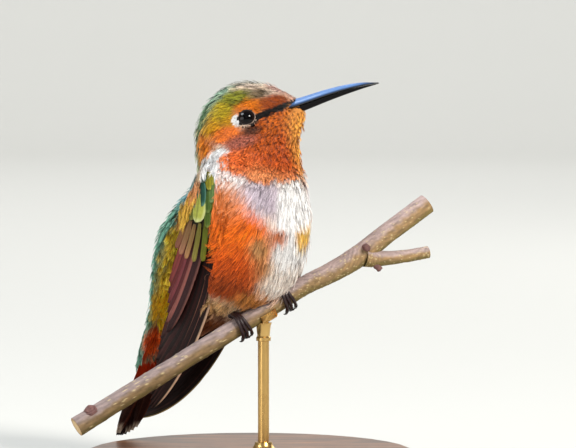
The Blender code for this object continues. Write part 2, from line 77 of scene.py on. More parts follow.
# Cross sections of the plumage: height up the frame, rear, front, half width, narrowing.
TRUNK_SECTIONS = (
    (-36.0, -10.7, -9.2, 2.2, 0.0),
    (-30.0, -11.1, -6.8, 3.6, 0.0),
    (-23.0, -11.2, -0.5, 5.8, 0.0),
    (-16.6, -12.2, 5.6, 8.5, 0.05),
    (-11.0, -12.8, 10.6, 11.4, 0.0),
    (-6.0, -13.2, 14.0, 13.1, 0.0),
    (0.5, -11.7, 14.0, 12.6, 0.0),
    (7.0, -9.4, 12.6, 10.9, 0.0),
    (12.0, -9.9, 9.2, 9.6, 0.0),
    (15.0, -9.4, 7.0, 8.0, 0.0),
)
HEAD_SECTIONS = (
    (-12.6, -7.4, 6.6, 6.0, 0.1),
    (-9.8, -9.5, 8.6, 7.4, 0.15),
    (-5.6, -10.0, 9.4, 6.9, 0.22),
    (-1.6, -9.4, 11.0, 6.6, 0.36),
    (1.4, -8.4, 11.3, 6.6, 0.36),
    (3.6, -7.2, 9.5, 6.1, 0.27),
    (5.8, -4.8, 6.4, 4.6, 0.15),
    (7.4, -1.4, 2.2, 1.8, 0.0),
)
SECTION_SIDES = 48

EYE_RADIUS = 2.1
EYE_PLACE = (1.9, 4.9, 0.7)
EYE_LOOK = (0.27, 1.0, 0.18)  # the way the right or left eye looks, out to its own side
EYE_OPENING = 1.36  # half the length of what the lids leave open
EYE_NARROWING = 0.86  # its height for its length

# The bill's middle line: forward, up, radius.
BILL_LINE = (
    (8.2, 0.55, 1.25),
    (12.4, 0.75, 1.12),
    (16.0, 0.98, 1.0),
    (19.5, 1.06, 0.82),
    (22.6, 0.94, 0.56),
    (24.6, 0.68, 0.26),
    (25.5, 0.55, 0.12),
)

# The folded wing's line in the trunk's frame, from the wrist to the tip.
WING_HANDLES = {
    RIGHT: ((-3.5, 9.8, 9.0), (8.5, 16.0, 0.0), (-2.0, 4.5, -27.0), (-3.8, 3.9, -40.0)),
    LEFT: ((-6.4, 10.2, 5.5), (-4.5, 15.5, -3.0), (6.0, 7.2, -31.5), (-12.0, 7.8, -47.2)),
}
WING_CURL = (15, 42)  # radius of the wing's round, at the wrist and at the tip
# The hollow that a wing lies in: along, trailing side, leading side, floor.
WING_ROOM = (
    (-0.045, -3.0, 2.2, -1.1),
    (0.02, -5.4, 4.5, -1.1),
    (0.12, -5.9, 4.8, -1.3),
    (0.17, -6.3, 4.8, -4.3),
    (0.40, -7.8, 5.2, -4.3),
    (0.60, -7.8, 4.8, -4.3),
    (0.82, -6.2, 3.6, -4.3),
)
PRIMARIES = 10
SECONDARIES = 6

TAIL_ROOT = (-8.6, -21.5)
TAIL_TILT = 1
TAIL_CAMBER = 20
RECTRICES = 5
RECTRIX_WIDTH = 3.8
RECTRIX_LENGTHS = (1.0, 0.99, 0.97, 0.95, 0.92)  # from the middle pair outward
TAIL_LENGTH = 27
TAIL_FAN = 0.6
WHITE_TIPPED = 3  # tail feathers on each side, the outermost ones

GRIP = millimetres(2.7, -5.0, 29.6)
TWIG_RUN = Vector((1.0, 0.364, 0.597)).normalized()
TWIG_RADIUS = 1.7
FEET_ALONG = {RIGHT: -5.4, LEFT: 4.1}
# The stem: along the twig's run, up from it, thickness for TWIG_RADIUS.
STEM = (
    (-40.0, 0.0, 1.03),
    (-18.0, 0.0, 0.97),
    (0.0, 0.0, 1.0),
    (8.0, 0.0, 1.0),
    (15.0, -0.7, 1.08),
    (20.0, -0.8, 1.15),
    (26.0, 0.0, 1.08),
    (35.5, 1.0, 1.08),
)
# Root and tip of each spur, then the side twig's points and radii, in world millimetres.
SPURS = ((20.6, 1.3, 39.0, 23.4, 0.9, 36.3), (20.4, 1.2, 40.2, 21.0, -1.4, 40.4))
SIDE_TWIG = (
    (20.5, 0.8, 38.6, 1.7),
    (22.5, 1.5, 38.3, 1.45),
    (26.6, 3.0, 38.5, 1.2),
    (30.3, 4.2, 39.0, 1.12),
    (32.0, 4.8, 39.3, 1.1),
)
TOE_RADIUS = 0.42
CLAW_RADIUS = 0.27
TOE_SPREAD = 0.95
SHANK_TOP = (4.8, 2.5, -6.0)
ANKLE_TURN = -30  # degrees round the twig from its top
ANKLE_RISE = 1.25


def smoothed(rows, steps):
    """The rows of numbers, with a Catmull-Rom curve's rows between each pair."""
    rows = [Vector(row) for row in rows]
    padded = [2 * rows[0] - rows[1], *rows, 2 * rows[-1] - rows[-2]]
    dense = []
    for a, b, c, d in zip(padded, padded[1:], padded[2:], padded[3:]):
        for step in range(steps):
            t = step / steps
            bend = (2 * a - 5 * b + 4 * c - d) * t**2 + (3 * b - a - 3 * c + d) * t**3
            dense.append(b + ((c - a) * t + bend) / 2)
    return [*dense, rows[-1]]


def bezier(handles, t):
    a, b, c, d = handles
    s = 1 - t
    return a * s**3 + b * (3 * s * s * t) + c * (3 * s * t * t) + d * t**3


def wing_point(side, along, across, out):
    """A point of the folded wing: along is 0 at the wrist and 1 at the tip, across is
    positive towards the leading edge, and out is away from the body."""
    handles = [Vector((ahead, side * aside, up)) for ahead, aside, up in WING_HANDLES[side]]
    centre = bezier(handles, along)
    run = (bezier(handles, along + 0.01) - bezier(handles, along - 0.01)).normalized()
    outward = Vector((0, side, 0))
    outward = (outward - run * outward.dot(run)).normalized()
    leading = run.cross(outward) * side
    curl = WING_CURL[0] + (WING_CURL[1] - WING_CURL[0]) * min(max(along, 0), 1)
    angle = across / curl
    centre += leading * (curl * sin(angle)) - outward * (curl * (1 - cos(angle)))
    outward = outward * cos(angle) + leading * sin(angle)
    return TRUNK @ ((centre + outward * out) * MM)


def vane(u, half_width, blunt=0.16):
    """Half the width of a feather at u from root to tip."""
    swell = 0.5 + 0.5 * sin(pi / 2 * min(1, u / 0.4))
    return half_width * max(blunt, swell * sqrt(max(0, 1 - u**5)))


def tail_frame():
    """x runs down the tail, y to the bird's left and z out of its upper side."""
    forward, up = TAIL_ROOT
    turn = Matrix.Rotation(radians(90 + TAIL_TILT), 4, "Y")
    return TRUNK @ Matrix.Translation(millimetres(forward, 0, up)) @ turn


def tail_point(place, along, across, rise):
    droop = across * across / (2 * TAIL_CAMBER)
    return place @ millimetres(along, across, rise + droop)


def twig_ring(along, angle, radius, aside=0.0):
    """A point round the straight twig. Angle 0 is its top and 90 its -Y face."""
    top = (Vector((0, 0, 1)) - TWIG_RUN * TWIG_RUN.z).normalized()
    front = TWIG_RUN.cross(top)
    turn = radians(angle)
    spoke = top * cos(turn) + front * sin(turn)
    return GRIP + (TWIG_RUN * (along + aside) + spoke * radius) * MM


def shank_ends(side):
    """The top of a leg in the belly, and its ankle over the twig."""
    forward, out, up = SHANK_TOP
    top = TRUNK @ millimetres(forward, side * out, up)
    return top, twig_ring(FEET_ALONG[side], ANKLE_TURN, TWIG_RADIUS + ANKLE_RISE)


def eye_centre(side):
    forward, out, up = EYE_PLACE
    return HEAD @ millimetres(forward, side * out, up)


def eye_axis(side):
    forward, out, up = EYE_LOOK
    return (HEAD.to_3x3() @ Vector((forward, side * out, up))).normalized()


# ---- numbers in bulk ------------------------------------------------------------------


def local(place, points):
    """World points in metres as millimetres in a frame."""
    inverse = np.array(place.inverted())
    return (points @ inverse[:3, :3].T + inverse[:3, 3]) / MM


def turned(place, vectors):
    """Directions in a frame as world directions."""
    return np.asarray(vectors, float) @ np.array(place)[:3, :3].T


def unit(vectors):
    return vectors / np.maximum(np.linalg.norm(vectors, axis=-1, keepdims=True), 1e-12)


def ease(low, high, x):
    t = np.clip((x - low) / (high - low), 0, 1)
    return t * t * (3 - 2 * t)


def mixed(a, b, share):
    return a + (b - a) * np.asarray(share)[..., None]


def wobble(points, size, seed):
    """Smooth noise from -1 to 1 over world points, with features of this size."""
    total = np.zeros(len(points))
    generator = np.random.default_rng(seed)
    for octave in (1.0, 1.9, 3.1):
        for _ in range(3):
            direction = unit(generator.normal(size=3)) * octave * 2 * pi / (size * MM)
            total += np.sin(points @ direction + generator.uniform(0, 2 * pi)) / octave
    return total / 3.2


def rgb(red, green, blue):
    """A display colour from 0 to 255 as linear light."""
    c = np.array((red, green, blue)) / 255
    return np.where(c <= 0.04045, c / 12.92, ((c + 0.055) / 1.055) ** 2.4)


# ---- markings -------------------------------------------------------------------------

WHITE = rgb(252, 249, 248)
LILAC = rgb(190, 176, 188)
ORANGE = rgb(236, 104, 14)
RUST = rgb(158, 62, 14)
TEAL = rgb(106, 158, 134)
# painted reflection of the sky, laid on the upper back
BACK_SKY_REFLECTION = rgb(122, 160, 170)

# Strokes in order, each over the last: frame, centre (forward, out to either side, up),
# radii, softness of the edge, colour. "left" is the trunk's frame, on the bird's left alone.
# The ones without a centre have masks of their own.
STROKES = (
    # trunk: pale front, orange flanks, brownish belly
    ("trunk", (13.5, 0.0, 4.0), (7.0, 4.2, 13.0), 0.35, WHITE),
    ("trunk", (9.0, 9.6, 0.8), (8.5, 6.3, 8.2), 0.20, ORANGE),
    ("trunk", (13.2, 3.4, 5.0), (3.0, 2.2, 1.6), 0.60, rgb(206, 122, 82)),
    ("trunk", (12.6, 6.4, 2.4), (2.6, 2.2, 2.4), 0.60, rgb(186, 136, 84)),
    ("trunk", (13.0, 4.6, -3.4), (4.4, 3.2, 4.4), 0.60, rgb(190, 138, 84)),
    ("trunk", (10.2, 9.2, -3.4), (7.0, 4.6, 4.4), 0.55, rgb(196, 76, 12)),
    ("trunk", (10.4, 8.6, -6.6), (6.0, 5.0, 3.0), 0.45, RUST),
    ("trunk", (13.4, 0.6, -4.6), (4.0, 3.4, 3.6), 0.50, rgb(238, 222, 210)),
    ("trunk", (11.6, 3.2, -8.4), (4.4, 3.6, 2.4), 0.50, rgb(196, 124, 56)),
    ("trunk", (6.6, 6.4, -12.4), (4.4, 3.6, 3.6), 0.50, rgb(214, 166, 110)),
    ("trunk", (2.6, 3.0, -18.6), (6.4, 5.0, 5.4), 0.45, rgb(122, 66, 26)),
    ("trunk", (-2.0, 0.0, -28.0), (8.0, 6.0, 6.0), 0.40, rgb(170, 104, 60)),
    ("left", (12.0, 4.5, 5.6), (3.6, 3.3, 3.7), 0.35, rgb(255, 190, 84)),
    # collar: lilac grey in the middle of each side, white towards its ends
    ("trunk", (7.8, 5.2, 10.8), (6.0, 4.8, 3.2), 0.60, LILAC),
    ("trunk", (11.0, 0.0, 10.4), (5.0, 3.2, 4.4), 0.30, WHITE),
    ("trunk", (0.6, 9.6, 12.2), (3.6, 3.2, 2.0), 0.35, WHITE),
    ("trunk", (2.6, 9.4, 7.4), (4.6, 4.2, 2.7), 0.60, rgb(216, 124, 70)),
    # back and rump
    ("mantle", None, None, None, TEAL),
    # painted reflection: a bluish sheen of the sky on the upper back
    ("trunk", (-9.0, 8.0, 8.0), (6.0, 6.0, 7.0), 0.40, BACK_SKY_REFLECTION),
    ("scapular", None, None, None, rgb(212, 142, 84)),
    ("gold_band", None, None, None, rgb(255, 210, 60)),
    ("low_gold", None, None, None, rgb(255, 188, 30)),
    ("trunk", (-6.6, 2.4, -28.8), (2.1, 3.0, 4.6), 0.30, rgb(224, 84, 20)),
    # gorget
    ("gorget", None, None, None, rgb(190, 76, 16)),
    ("gorget_hem", None, None, None, rgb(240, 150, 92)),
    ("head", (3.4, 6.0, -3.6), (4.5, 4.0, 2.6), 0.60, rgb(176, 74, 10)),
    ("head", (6.6, 3.8, -1.0), (3.4, 3.0, 2.2), 0.60, rgb(196, 92, 16)),
    ("head", (-1.4, 8.5, -6.0), (3.2, 3.2, 2.6), 0.60, rgb(228, 104, 44)),
    ("head", (10.6, 0.0, -5.6), (3.8, 3.7, 9.0), 0.50, rgb(250, 164, 66)),
    # neck behind the gorget
    ("head", (-7.6, 0.0, -3.5), (4.6, 7.6, 7.0), 0.25, rgb(228, 122, 24)),
    ("neck_patch", None, None, None, rgb(255, 255, 255)),
    # head
    ("head", (-3.2, 6.0, 1.2), (4.0, 4.0, 2.9), 0.25, rgb(200, 142, 10)),
    ("head", (0.0, 5.4, 4.5), (4.0, 3.6, 2.2), 0.35, rgb(122, 122, 26)),
    ("head", (-2.6, 5.8, 3.2), (2.0, 2.4, 1.6), 0.50, rgb(172, 146, 20)),
    ("head", (3.6, 5.8, 2.6), (3.6, 3.4, 1.7), 0.35, rgb(214, 112, 12)),
    ("head", (7.2, 3.6, 2.2), (3.2, 3.0, 1.7), 0.35, rgb(146, 62, 10)),
    ("head", (-2.4, 6.9, -1.1), (3.2, 3.0, 1.5), 0.35, rgb(250, 124, 38)),
    ("head", (-0.2, 6.7, -2.9), (3.0, 3.0, 1.2), 0.50, rgb(170, 92, 72)),
    ("head", (2.2, 6.2, -1.5), (1.8, 2.6, 0.8), 0.50, rgb(88, 46, 28)),
    ("head", (-6.4, 0.0, 3.4), (5.4, 5.4, 5.4), 0.26, rgb(112, 146, 106)),
    ("head", (-9.6, 0.0, -5.4), (3.2, 4.4, 8.6), 0.45, rgb(128, 138, 96)),
    ("head", (-3.2, 0.0, 6.4), (4.6, 4.9, 2.7), 0.18, rgb(122, 150, 126)),
    ("head", (2.8, 0.0, 7.0), (4.0, 2.7, 1.6), 0.30, rgb(152, 146, 130)),
    ("head", (4.6, 3.6, 4.6), (1.8, 1.7, 1.1), 0.60, rgb(112, 92, 66)),
    ("head", (7.4, 0.0, 4.6), (3.3, 2.0, 1.9), 0.30, rgb(200, 158, 144)),
    ("head", (10.0, 0.0, 2.8), (1.8, 1.8, 1.3), 0.30, rgb(190, 146, 126)),
    ("lore", None, None, None, rgb(10, 6, 5)),
    ("head", (0.35, 6.8, 0.95), (0.85, 2.4, 1.05), 0.12, rgb(255, 255, 255)),
)


def band(x, begin, end):
    """1 between two places and 0 beyond them, each eased over a low and a high number."""
    return ease(*begin, x) * (1 - ease(*end, x))


def blob(points, centre, radii, soft):
    offset = (points - np.array(centre)) / np.array(radii)
    return 1 - ease(1 - soft, 1 + soft, np.linalg.norm(offset, axis=1))


def gorget_mask(head, trunk):
    """The throat's coloured feathers end in scallops over the collar."""
    turn = np.arctan2(trunk[:, 1], trunk[:, 0] + 3)
    edge = 13.55 - 0.85 * ease(0.35, 0.85, turn)
    edge = edge + 0.35 * np.sin(turn * 9) + 0.20 * np.sin(turn * 23 + 1)
    limit = -1.25 + 0.16 * head[:, 0] + 0.55 * ease(2.5, 5.0, head[:, 0])
    below_face = 1 - ease(-0.3, 0.3, head[:, 2] - limit)
    high = np.minimum(trunk[:, 2], 15.0)
    drawn = 0.34 * (14.6 - high) + 4 * ease(15.0, 17.0, trunk[:, 2])
    behind = ease(-2.4, -1.7, trunk[:, 0] + drawn)
    return ease(-0.25, 0.25, trunk[:, 2] - edge) * below_face * behind


def gorget_hem_mask(head, trunk):
    """The throat's lowest feathers are paler."""
    return gorget_mask(head, trunk) * (1 - ease(13.9, 15.6, trunk[:, 2])) * 0.8


def neck_patch_mask(head, trunk):
    """White runs up behind the gorget to a point below the ear."""
    behind = 1 - ease(-2.4, -1.7, trunk[:, 0] + 0.34 * (14.6 - trunk[:, 2]))
    before = ease(-0.3, 0.3, trunk[:, 0] + 3.5 + 0.50 * (14.9 - trunk[:, 2]))
    low = ease(8.0, 9.4, trunk[:, 2]) * ease(-6.6, -5.8, trunk[:, 0])
    below = 1 - ease(14.6, 15.4, trunk[:, 2])
    return behind * before * below * low * ease(3.0, 5.0, trunk[:, 1])


def gold_band_mask(head, trunk):
    """Gold between the teal of the back and the folded wing, down to the tail."""
    edge = -5.6 - 0.115 * np.clip(-5.0 - trunk[:, 2], 0, 15.5)
    length = band(trunk[:, 2], (-28.0, -25.0), (-3.5, -1.5))
    across = ease(-0.45, 0.35, trunk[:, 0] - edge) * (1 - ease(-2.2, -1.2, trunk[:, 0]))
    return across * ease(2.0, 3.0, trunk[:, 1]) * length


def low_gold_mask(head, trunk):
    """The band is a deeper gold towards the tail."""
    return gold_band_mask(head, trunk) * (1 - ease(-20.0, -13.0, trunk[:, 2]))


def scapular_mask(head, trunk):
    """Buff and orange behind the top of the wing."""
    along = band(trunk[:, 2], (-3.4, -2.0), (8.5, 10.0))
    across = band(trunk[:, 0], (-5.6, -4.8), (-2.5, -1.5))
    return along * across * ease(6.5, 7.5, trunk[:, 1])


def lore_mask(head, trunk):
    """The black line from the bill's base to the eye."""
    along = np.clip((head[:, 0] - 3.2) / 7.6, 0, 1)
    middle = 0.28 + 0.18 * (head[:, 0] - 3.2)
    reach = 0.72 - 0.26 * along
    inside = ease(2.8, 3.2, head[:, 0])
    return (1 - ease(reach * 0.8, reach * 1.2, np.abs(head[:, 2] - middle))) * inside


def mantle_mask(head, trunk):
    """The green back, with an uneven edge along the folded wings."""
    edge = -3.6 + 0.3 * np.sin(trunk[:, 2] * 1.9) + 0.2 * np.sin(trunk[:, 2] * 4.3)
    return (1 - ease(-0.5, 0.5, trunk[:, 0] - edge)) * (1 - ease(12.0, 15.0, trunk[:, 2]))


MASKS = {
    "gorget": gorget_mask,
    "gorget_hem": gorget_hem_mask,
    "neck_patch": neck_patch_mask,
    "gold_band": gold_band_mask,
    "low_gold": low_gold_mask,
    "scapular": scapular_mask,
    "lore": lore_mask,
    "mantle": mantle_mask,
}


def markings(points):
    """The plumage's colour at each world point, as linear light."""
    head, trunk = local(HEAD, points), local(TRUNK, points)
    places = {"head": head, "left": trunk.copy(), "trunk": trunk}
    head[:, 1] = np.abs(head[:, 1])
    drawn_in = 6.0 * ease(0, 6, trunk[:, 1]) * ease(0, 9, trunk[:, 0])
    trunk[:, 1] = np.abs(trunk[:, 1] - drawn_in)
    colour = rgb(226, 200, 178)
    for kind, centre, radii, soft, over in STROKES:
        if kind in MASKS:
            share = MASKS[kind](head, trunk)
        else:
            share = blob(places[kind], centre, radii, soft)
        colour = mixed(colour, over, share)
    return colour * (1 + 0.10 * wobble(points, 3.6, 7))[:, None]


# ---- meshes ---------------------------------------------------------------------------


def linked(name, data):
    made = bpy.data.objects.new(name, data)
    bpy.context.scene.collection.objects.link(made)
    return made


def placed(name, mesh, *materials, body="root"):
    """An object of this mesh, on a body of the frame unless that is None."""
    made = linked(name, mesh)
    for one in materials:
        mesh.materials.append(one)
    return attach(made, body) if body else made


def triangle_mesh(name, points, triangles):
    """A mesh from arrays of points and triangle corners."""
    mesh = bpy.data.meshes.new(name)
    mesh.vertices.add(len(points))
    mesh.vertices.foreach_set("co", np.asarray(points, np.float32).ravel())
    count = len(triangles)
    mesh.loops.add(3 * count)
    mesh.loops.foreach_set("vertex_index", np.asarray(triangles, np.int32).ravel())
    mesh.polygons.add(count)
    mesh.polygons.foreach_set("loop_start", np.arange(0, 3 * count, 3, dtype=np.int32))
    mesh.update(calc_edges=True)
    mesh.validate()
    return mesh


def grid_triangles(rows, columns, wrap=False):
    """Corners of the triangles of a grid of points, row by row."""
    reach = columns if wrap else columns - 1
    i, j = np.meshgrid(np.arange(rows - 1), np.arange(reach), indexing="ij")
    i, j = i.ravel(), j.ravel()
    k = (j + 1) % columns
    a, b, c, d = i * columns + j, i * columns + k, (i + 1) * columns + k, (i + 1) * columns + j
    return np.concatenate([np.stack([a, b, c], 1), np.stack([a, c, d], 1)])


def round_mesh(name, points, rows, around):
    """A smooth mesh from closed rings of points."""
    mesh = triangle_mesh(name, points, grid_triangles(rows, around, wrap=True))
    mesh.shade_smooth()
    return mesh


def facing_out(mesh, bevel=0.0):
    """Turns a closed mesh's faces outward, rounds its edges, and shades it smooth."""
    bm = bmesh.new()
    bm.from_mesh(mesh)
    bmesh.ops.recalc_face_normals(bm, faces=bm.faces)
    if bevel:
        bmesh.ops.bevel(bm, geom=bm.edges, offset=bevel * MM, segments=2, affect="EDGES")
    bm.to_mesh(mesh)
    bm.free()
    mesh.shade_smooth()
    return mesh


def tint(mesh, colours):
    """Stores a linear colour for each point, or one for them all."""
    layer = mesh.color_attributes.new("Tint", "FLOAT_COLOR", "POINT")
    filled = np.ones((len(mesh.vertices), 4), np.float32)
    filled[:, :3] = colours
    layer.data.foreach_set("color", filled.ravel())


def store_map(mesh, name, places):
    layer = mesh.uv_layers.new(name=name)
    layer.data.foreach_set("uv", places.astype(np.float32).ravel())


def numbers(items, name, width, kind=float):
    """One property of all of a mesh's vertices, triangles or layer entries."""
    values = np.empty(len(items) * width, kind)
    items.foreach_get(name, values)
    return values.reshape(-1, width)


def mesh_points(mesh):
    return numbers(mesh.vertices, "co", 3)


def move_points(mesh, points):
    mesh.vertices.foreach_set("co", points.astype(np.float32).ravel())
    mesh.update()


def mesh_normals(mesh):
    return numbers(mesh.vertices, "normal", 3)


def joined_mesh(name, meshes):
    """Several meshes as one, keeping colours and maps."""
    made = [linked("joining", mesh) for mesh in meshes]
    with bpy.context.temp_override(
        active_object=made[0], selected_editable_objects=made, selected_objects=made
    ):
        bpy.ops.object.join()
    mesh = made[0].data
    bpy.data.objects.remove(made[0])
    mesh.name = name
    return mesh


def tube_mesh(name, points, radii, around, caps=True):
    """A round limb through world points, its radii in millimetres."""
    points = np.array([tuple(p) for p in points])
    radii = np.asarray(radii, float) * MM
    run = unit(np.gradient(points, axis=0))
    side = unit(np.cross(run[0], (0.31, 0.52, 0.79)))
    rings = []
    for place, ahead, radius in zip(points, run, radii):
        side = unit(side - ahead * (side @ ahead))
        other = np.cross(ahead, side)
        turn = np.linspace(0, 2 * pi, around, endpoint=False)[:, None]
        rings.append(place + (side * np.cos(turn) + other * np.sin(turn)) * radius)
    corners = grid_triangles(len(points), around, wrap=True)
    everything = np.concatenate(rings)
    if caps:
        ends = np.array([points[0], points[-1]])
        first, last = len(everything), len(everything) + 1
        low = [(first, (i + 1) % around, i) for i in range(around)]
        base = (len(points) - 1) * around
        high = [(last, base + i, base + (i + 1) % around) for i in range(around)]
        everything = np.concatenate([everything, ends])
        corners = np.concatenate([corners, low, high])
    mesh = triangle_mesh(name, everything, corners)
    mesh.shade_smooth()
    return mesh


def slotted(name, mesh, finish, slot, *nodes):
    """A piece with its material, in place of these nodes of the frame. The slot is not used."""
    made = placed(name, mesh, finish)
    if nodes:
        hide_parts(*nodes)
    return made


# ---- materials ------------------------------------------------------------------------


class Finish:
    """A Principled material and the nodes that feed it."""

    def __init__(self, name, roughness, **sockets):
        self.made = bpy.data.materials.new(name)
        self.made.use_nodes = True
        self.nodes = self.made.node_tree.nodes
        self.links = self.made.node_tree.links
        self.shader = self.nodes["Principled BSDF"]
        self.shader.inputs["Roughness"].default_value = roughness
        for socket, value in sockets.items():
            self.shader.inputs[socket.replace("_", " ")].default_value = value

    def node(self, kind, inputs=(), **settings):
        made = self.nodes.new(kind)
        for key, value in settings.items():
            setattr(made, key, value)
        for key, value in dict(inputs).items():
            if isinstance(value, bpy.types.NodeSocket):
                self.links.new(value, made.inputs[key])
            else:
                made.inputs[key].default_value = value
        return made

    def feed(self, socket, value):
        self.links.new(value, self.shader.inputs[socket])
        return self

    def noise(self, scale, detail, distortion=0.0, stretch=None, turn=(0, 0, 0)):
        """Noise in the piece's own coordinates."""
        vector = self.node("ShaderNodeTexCoord").outputs["Object"]
        if stretch:
            inputs = {"Vector": vector, "Scale": stretch, "Rotation": turn}
            vector = self.node("ShaderNodeMapping", inputs).outputs["Vector"]
        inputs = {"Vector": vector, "Scale": scale, "Detail": detail, "Distortion": distortion}
        return self.node("ShaderNodeTexNoise", inputs).outputs["Fac"]

    def ranged(self, value, low, high, start=0.0, end=1.0):
        inputs = {"Value": value, "From Min": start, "From Max": end, "To Min": low, "To Max": high}
        return self.node("ShaderNodeMapRange", inputs).outputs["Result"]

    def ramped(self, value, stops):
        """Colours along a ramp: a position and a colour for each stop."""
        ramp = self.node("ShaderNodeValToRGB", {"Fac": value})
        while len(ramp.color_ramp.elements) < len(stops):
            ramp.color_ramp.elements.new(0.5)
        for element, (position, colour) in zip(ramp.color_ramp.elements, stops):
            element.position = position
            element.color = (*colour, 1)
        return ramp.outputs["Color"]

    def maths(self, operation, *values):
        return self.node("ShaderNodeMath", dict(enumerate(values)), operation=operation).outputs[0]

    def shaded(self, colour, shade):
        """The base colour: one colour times a shade."""
        inputs = {"Factor": 1.0, "A": colour, "B": shade}
        mix = self.node("ShaderNodeMix", inputs, data_type="RGBA", blend_type="MULTIPLY")
        return self.feed("Base Color", mix.outputs["Result"])

    def bump(self, height, strength, distance=0.00005):
        inputs = {"Height": height, "Strength": strength, "Distance": distance}
        return self.feed("Normal", self.node("ShaderNodeBump", inputs).outputs["Normal"])

    def tinted(self, low=0.8, high=1.15, scale=1500.0):
        """The stored colour, with a little uneven light and dark."""
        stored = self.node("ShaderNodeVertexColor", layer_name="Tint")
        return self.shaded(stored.outputs["Color"], self.ranged(self.noise(scale, 3.0), low, high))

    def bumped(self, scale, *bump):
        return self.bump(self.noise(scale, 4.0), *bump)


def finishes():
    made = {
        "skin": Finish("plumage_skin", 0.8).tinted().bumped(2500, 0.4),
        "soft": Finish("soft_plumage", 0.72, Specular_IOR_Level=0.18, Sheen_Weight=0.04).tinted(),
        "bright": Finish("bright_plumage", 0.55, Specular_IOR_Level=0.18).tinted(),
        "bill": Finish("horn_bill", 0.24, Specular_IOR_Level=0.6).tinted(0.85, 1.1, 900),
        "low_bill": Finish("lower_bill", 0.42, Specular_IOR_Level=0.12).tinted(0.8, 1.1, 900),
        "eye": Finish("eye_ball", 0.05, IOR=1.34, Specular_IOR_Level=0.30).tinted(0.9, 1.05, 600),
        "toe": Finish("toe_scales", 0.40, Specular_IOR_Level=0.35).tinted(0.75, 1.2, 2600),
        "bark": Finish("twig_bark", 0.78).tinted(0.72, 1.2, 2200).bumped(5200, 0.55, 0.00006),
    }
    return {name: finish.made for name, finish in made.items()}


def walnut():
    """Turned walnut: rings stretched along the board, under a satin polish."""
    finish = Finish("walnut", 0.38, Coat_Weight=0.25, Coat_Roughness=0.2)
    board = {"stretch": (1.0, 9.0, 9.0), "turn": (0.2, 0.05, 0.5)}
    figure = finish.noise(38.0, 6.0, 0.8, **board)
    pores = finish.noise(320.0, 2.0, **board)
    stops = ((0.30, rgb(58, 34, 20)), (0.5, rgb(112, 70, 42)), (0.68, rgb(148, 98, 60)))
    finish.shaded(finish.ramped(figure, stops), finish.ranged(pores, 0.6, 1.0, 0.35, 0.5))
    return finish.bump(pores, 0.25).made


def brass():
    """Satin brass, a little uneven in colour and shine."""
    finish = Finish("brass", 0.26, Metallic=1.0)
    stain = finish.noise(260.0, 5.0)
    stops = ((0.0, rgb(176, 136, 78)), (1.0, rgb(214, 178, 112)))
    finish.feed("Base Color", finish.ramped(stain, stops))
    return finish.feed("Roughness", finish.ranged(stain, 0.18, 0.38)).made


FINISH = finishes()


# ---- skin -----------------------------------------------------------------------------


def section_ring(place, height, rear, front, half_width, narrowing):
    middle, depth = (rear + front) / 2, (front - rear) / 2
    points = []
    for i in range(SECTION_SIDES):
        turn = 2 * pi * i / SECTION_SIDES
        aside = half_width * sin(turn) * (1 - narrowing * cos(turn))
        points.append(place @ millimetres(middle + depth * cos(turn), aside, height))
    return points


def add_loft(bm, place, sections):
    rows = smoothed(sections, 4)
    rings = [[bm.verts.new(point) for point in section_ring(place, *row)] for row in rows]
    for low, high in zip(rings, rings[1:]):
        for i in range(SECTION_SIDES):
            j = (i + 1) % SECTION_SIDES
            bm.faces.new((low[i], low[j], high[j], high[i]))
    bm.faces.new(rings[0][::-1])
    bm.faces.new(rings[-1])


def wing_room(side):
    """The hollow in the flank that a folded wing lies in."""
    rows = smoothed(WING_ROOM, 3)
    columns = 9
    layers = []
    for top in (False, True):
        for along, trailing, leading, floor in rows:
            for j in range(columns):
                across = trailing + (leading - trailing) * j / (columns - 1)
                layers.append(wing_point(side, along, across, 6.0 if top else floor))
    bm = bmesh.new()
    verts = [bm.verts.new(point) for point in layers]
    count = len(rows)

    def at(i, j, k):
        return verts[k * count * columns + i * columns + j]

    for i in range(count - 1):
        for j in range(columns - 1):
            for k in (0, 1):
                bm.faces.new((at(i, j, k), at(i + 1, j, k), at(i + 1, j + 1, k), at(i, j + 1, k)))
    rim = [(i, 0) for i in range(count - 1)] + [(count - 1, j) for j in range(columns - 1)]
    rim += [(i, columns - 1) for i in range(count - 1, 0, -1)]
    rim += [(0, j) for j in range(columns - 1, 0, -1)]
    for a, b in zip(rim, rim[1:] + rim[:1]):
        bm.faces.new((at(*a, 0), at(*b, 0), at(*b, 1), at(*a, 1)))
    bmesh.ops.recalc_face_normals(bm, faces=bm.faces)
    mesh = bpy.data.meshes.new("room")
    bm.to_mesh(mesh)
    bm.free()
    return placed("room", mesh, body=None)


def shank(side):
    top, low = shank_ends(side)
    points = [top.lerp(low, t) for t in (0, 0.3, 0.6, 0.8, 0.97)]
    return tube_mesh("shank", points, (2.4, 1.8, 1.25, 0.9, 0.45), around=20)


COAT_DEPTH, THINNER_ON_FACE = 0.62, 0.34


def coat_depth(points):
    """How far the skin lies inside the plumage's outline."""
    head = local(HEAD, points)
    face = ease(-9, 4, head[:, 2]) * ease(-9, 3, head[:, 0])
    return (COAT_DEPTH - THINNER_ON_FACE * face) * MM


def evaluated(piece):
    graph = bpy.context.evaluated_depsgraph_get()
    mesh = bpy.data.meshes.new_from_object(piece.evaluated_get(graph))
    bpy.data.objects.remove(piece)
    return mesh


def eye_frame(side):
    """The eyeball's centre, the way it looks, and the long and short way of its opening."""
    axis = np.array(eye_axis(side))
    ahead = np.array((HEAD.to_3x3() @ Vector((1.0, 0.0, 0.1))).normalized())
    first = unit(ahead - axis * (ahead @ axis))
    return np.array(eye_centre(side)), axis, first, np.cross(axis, first)


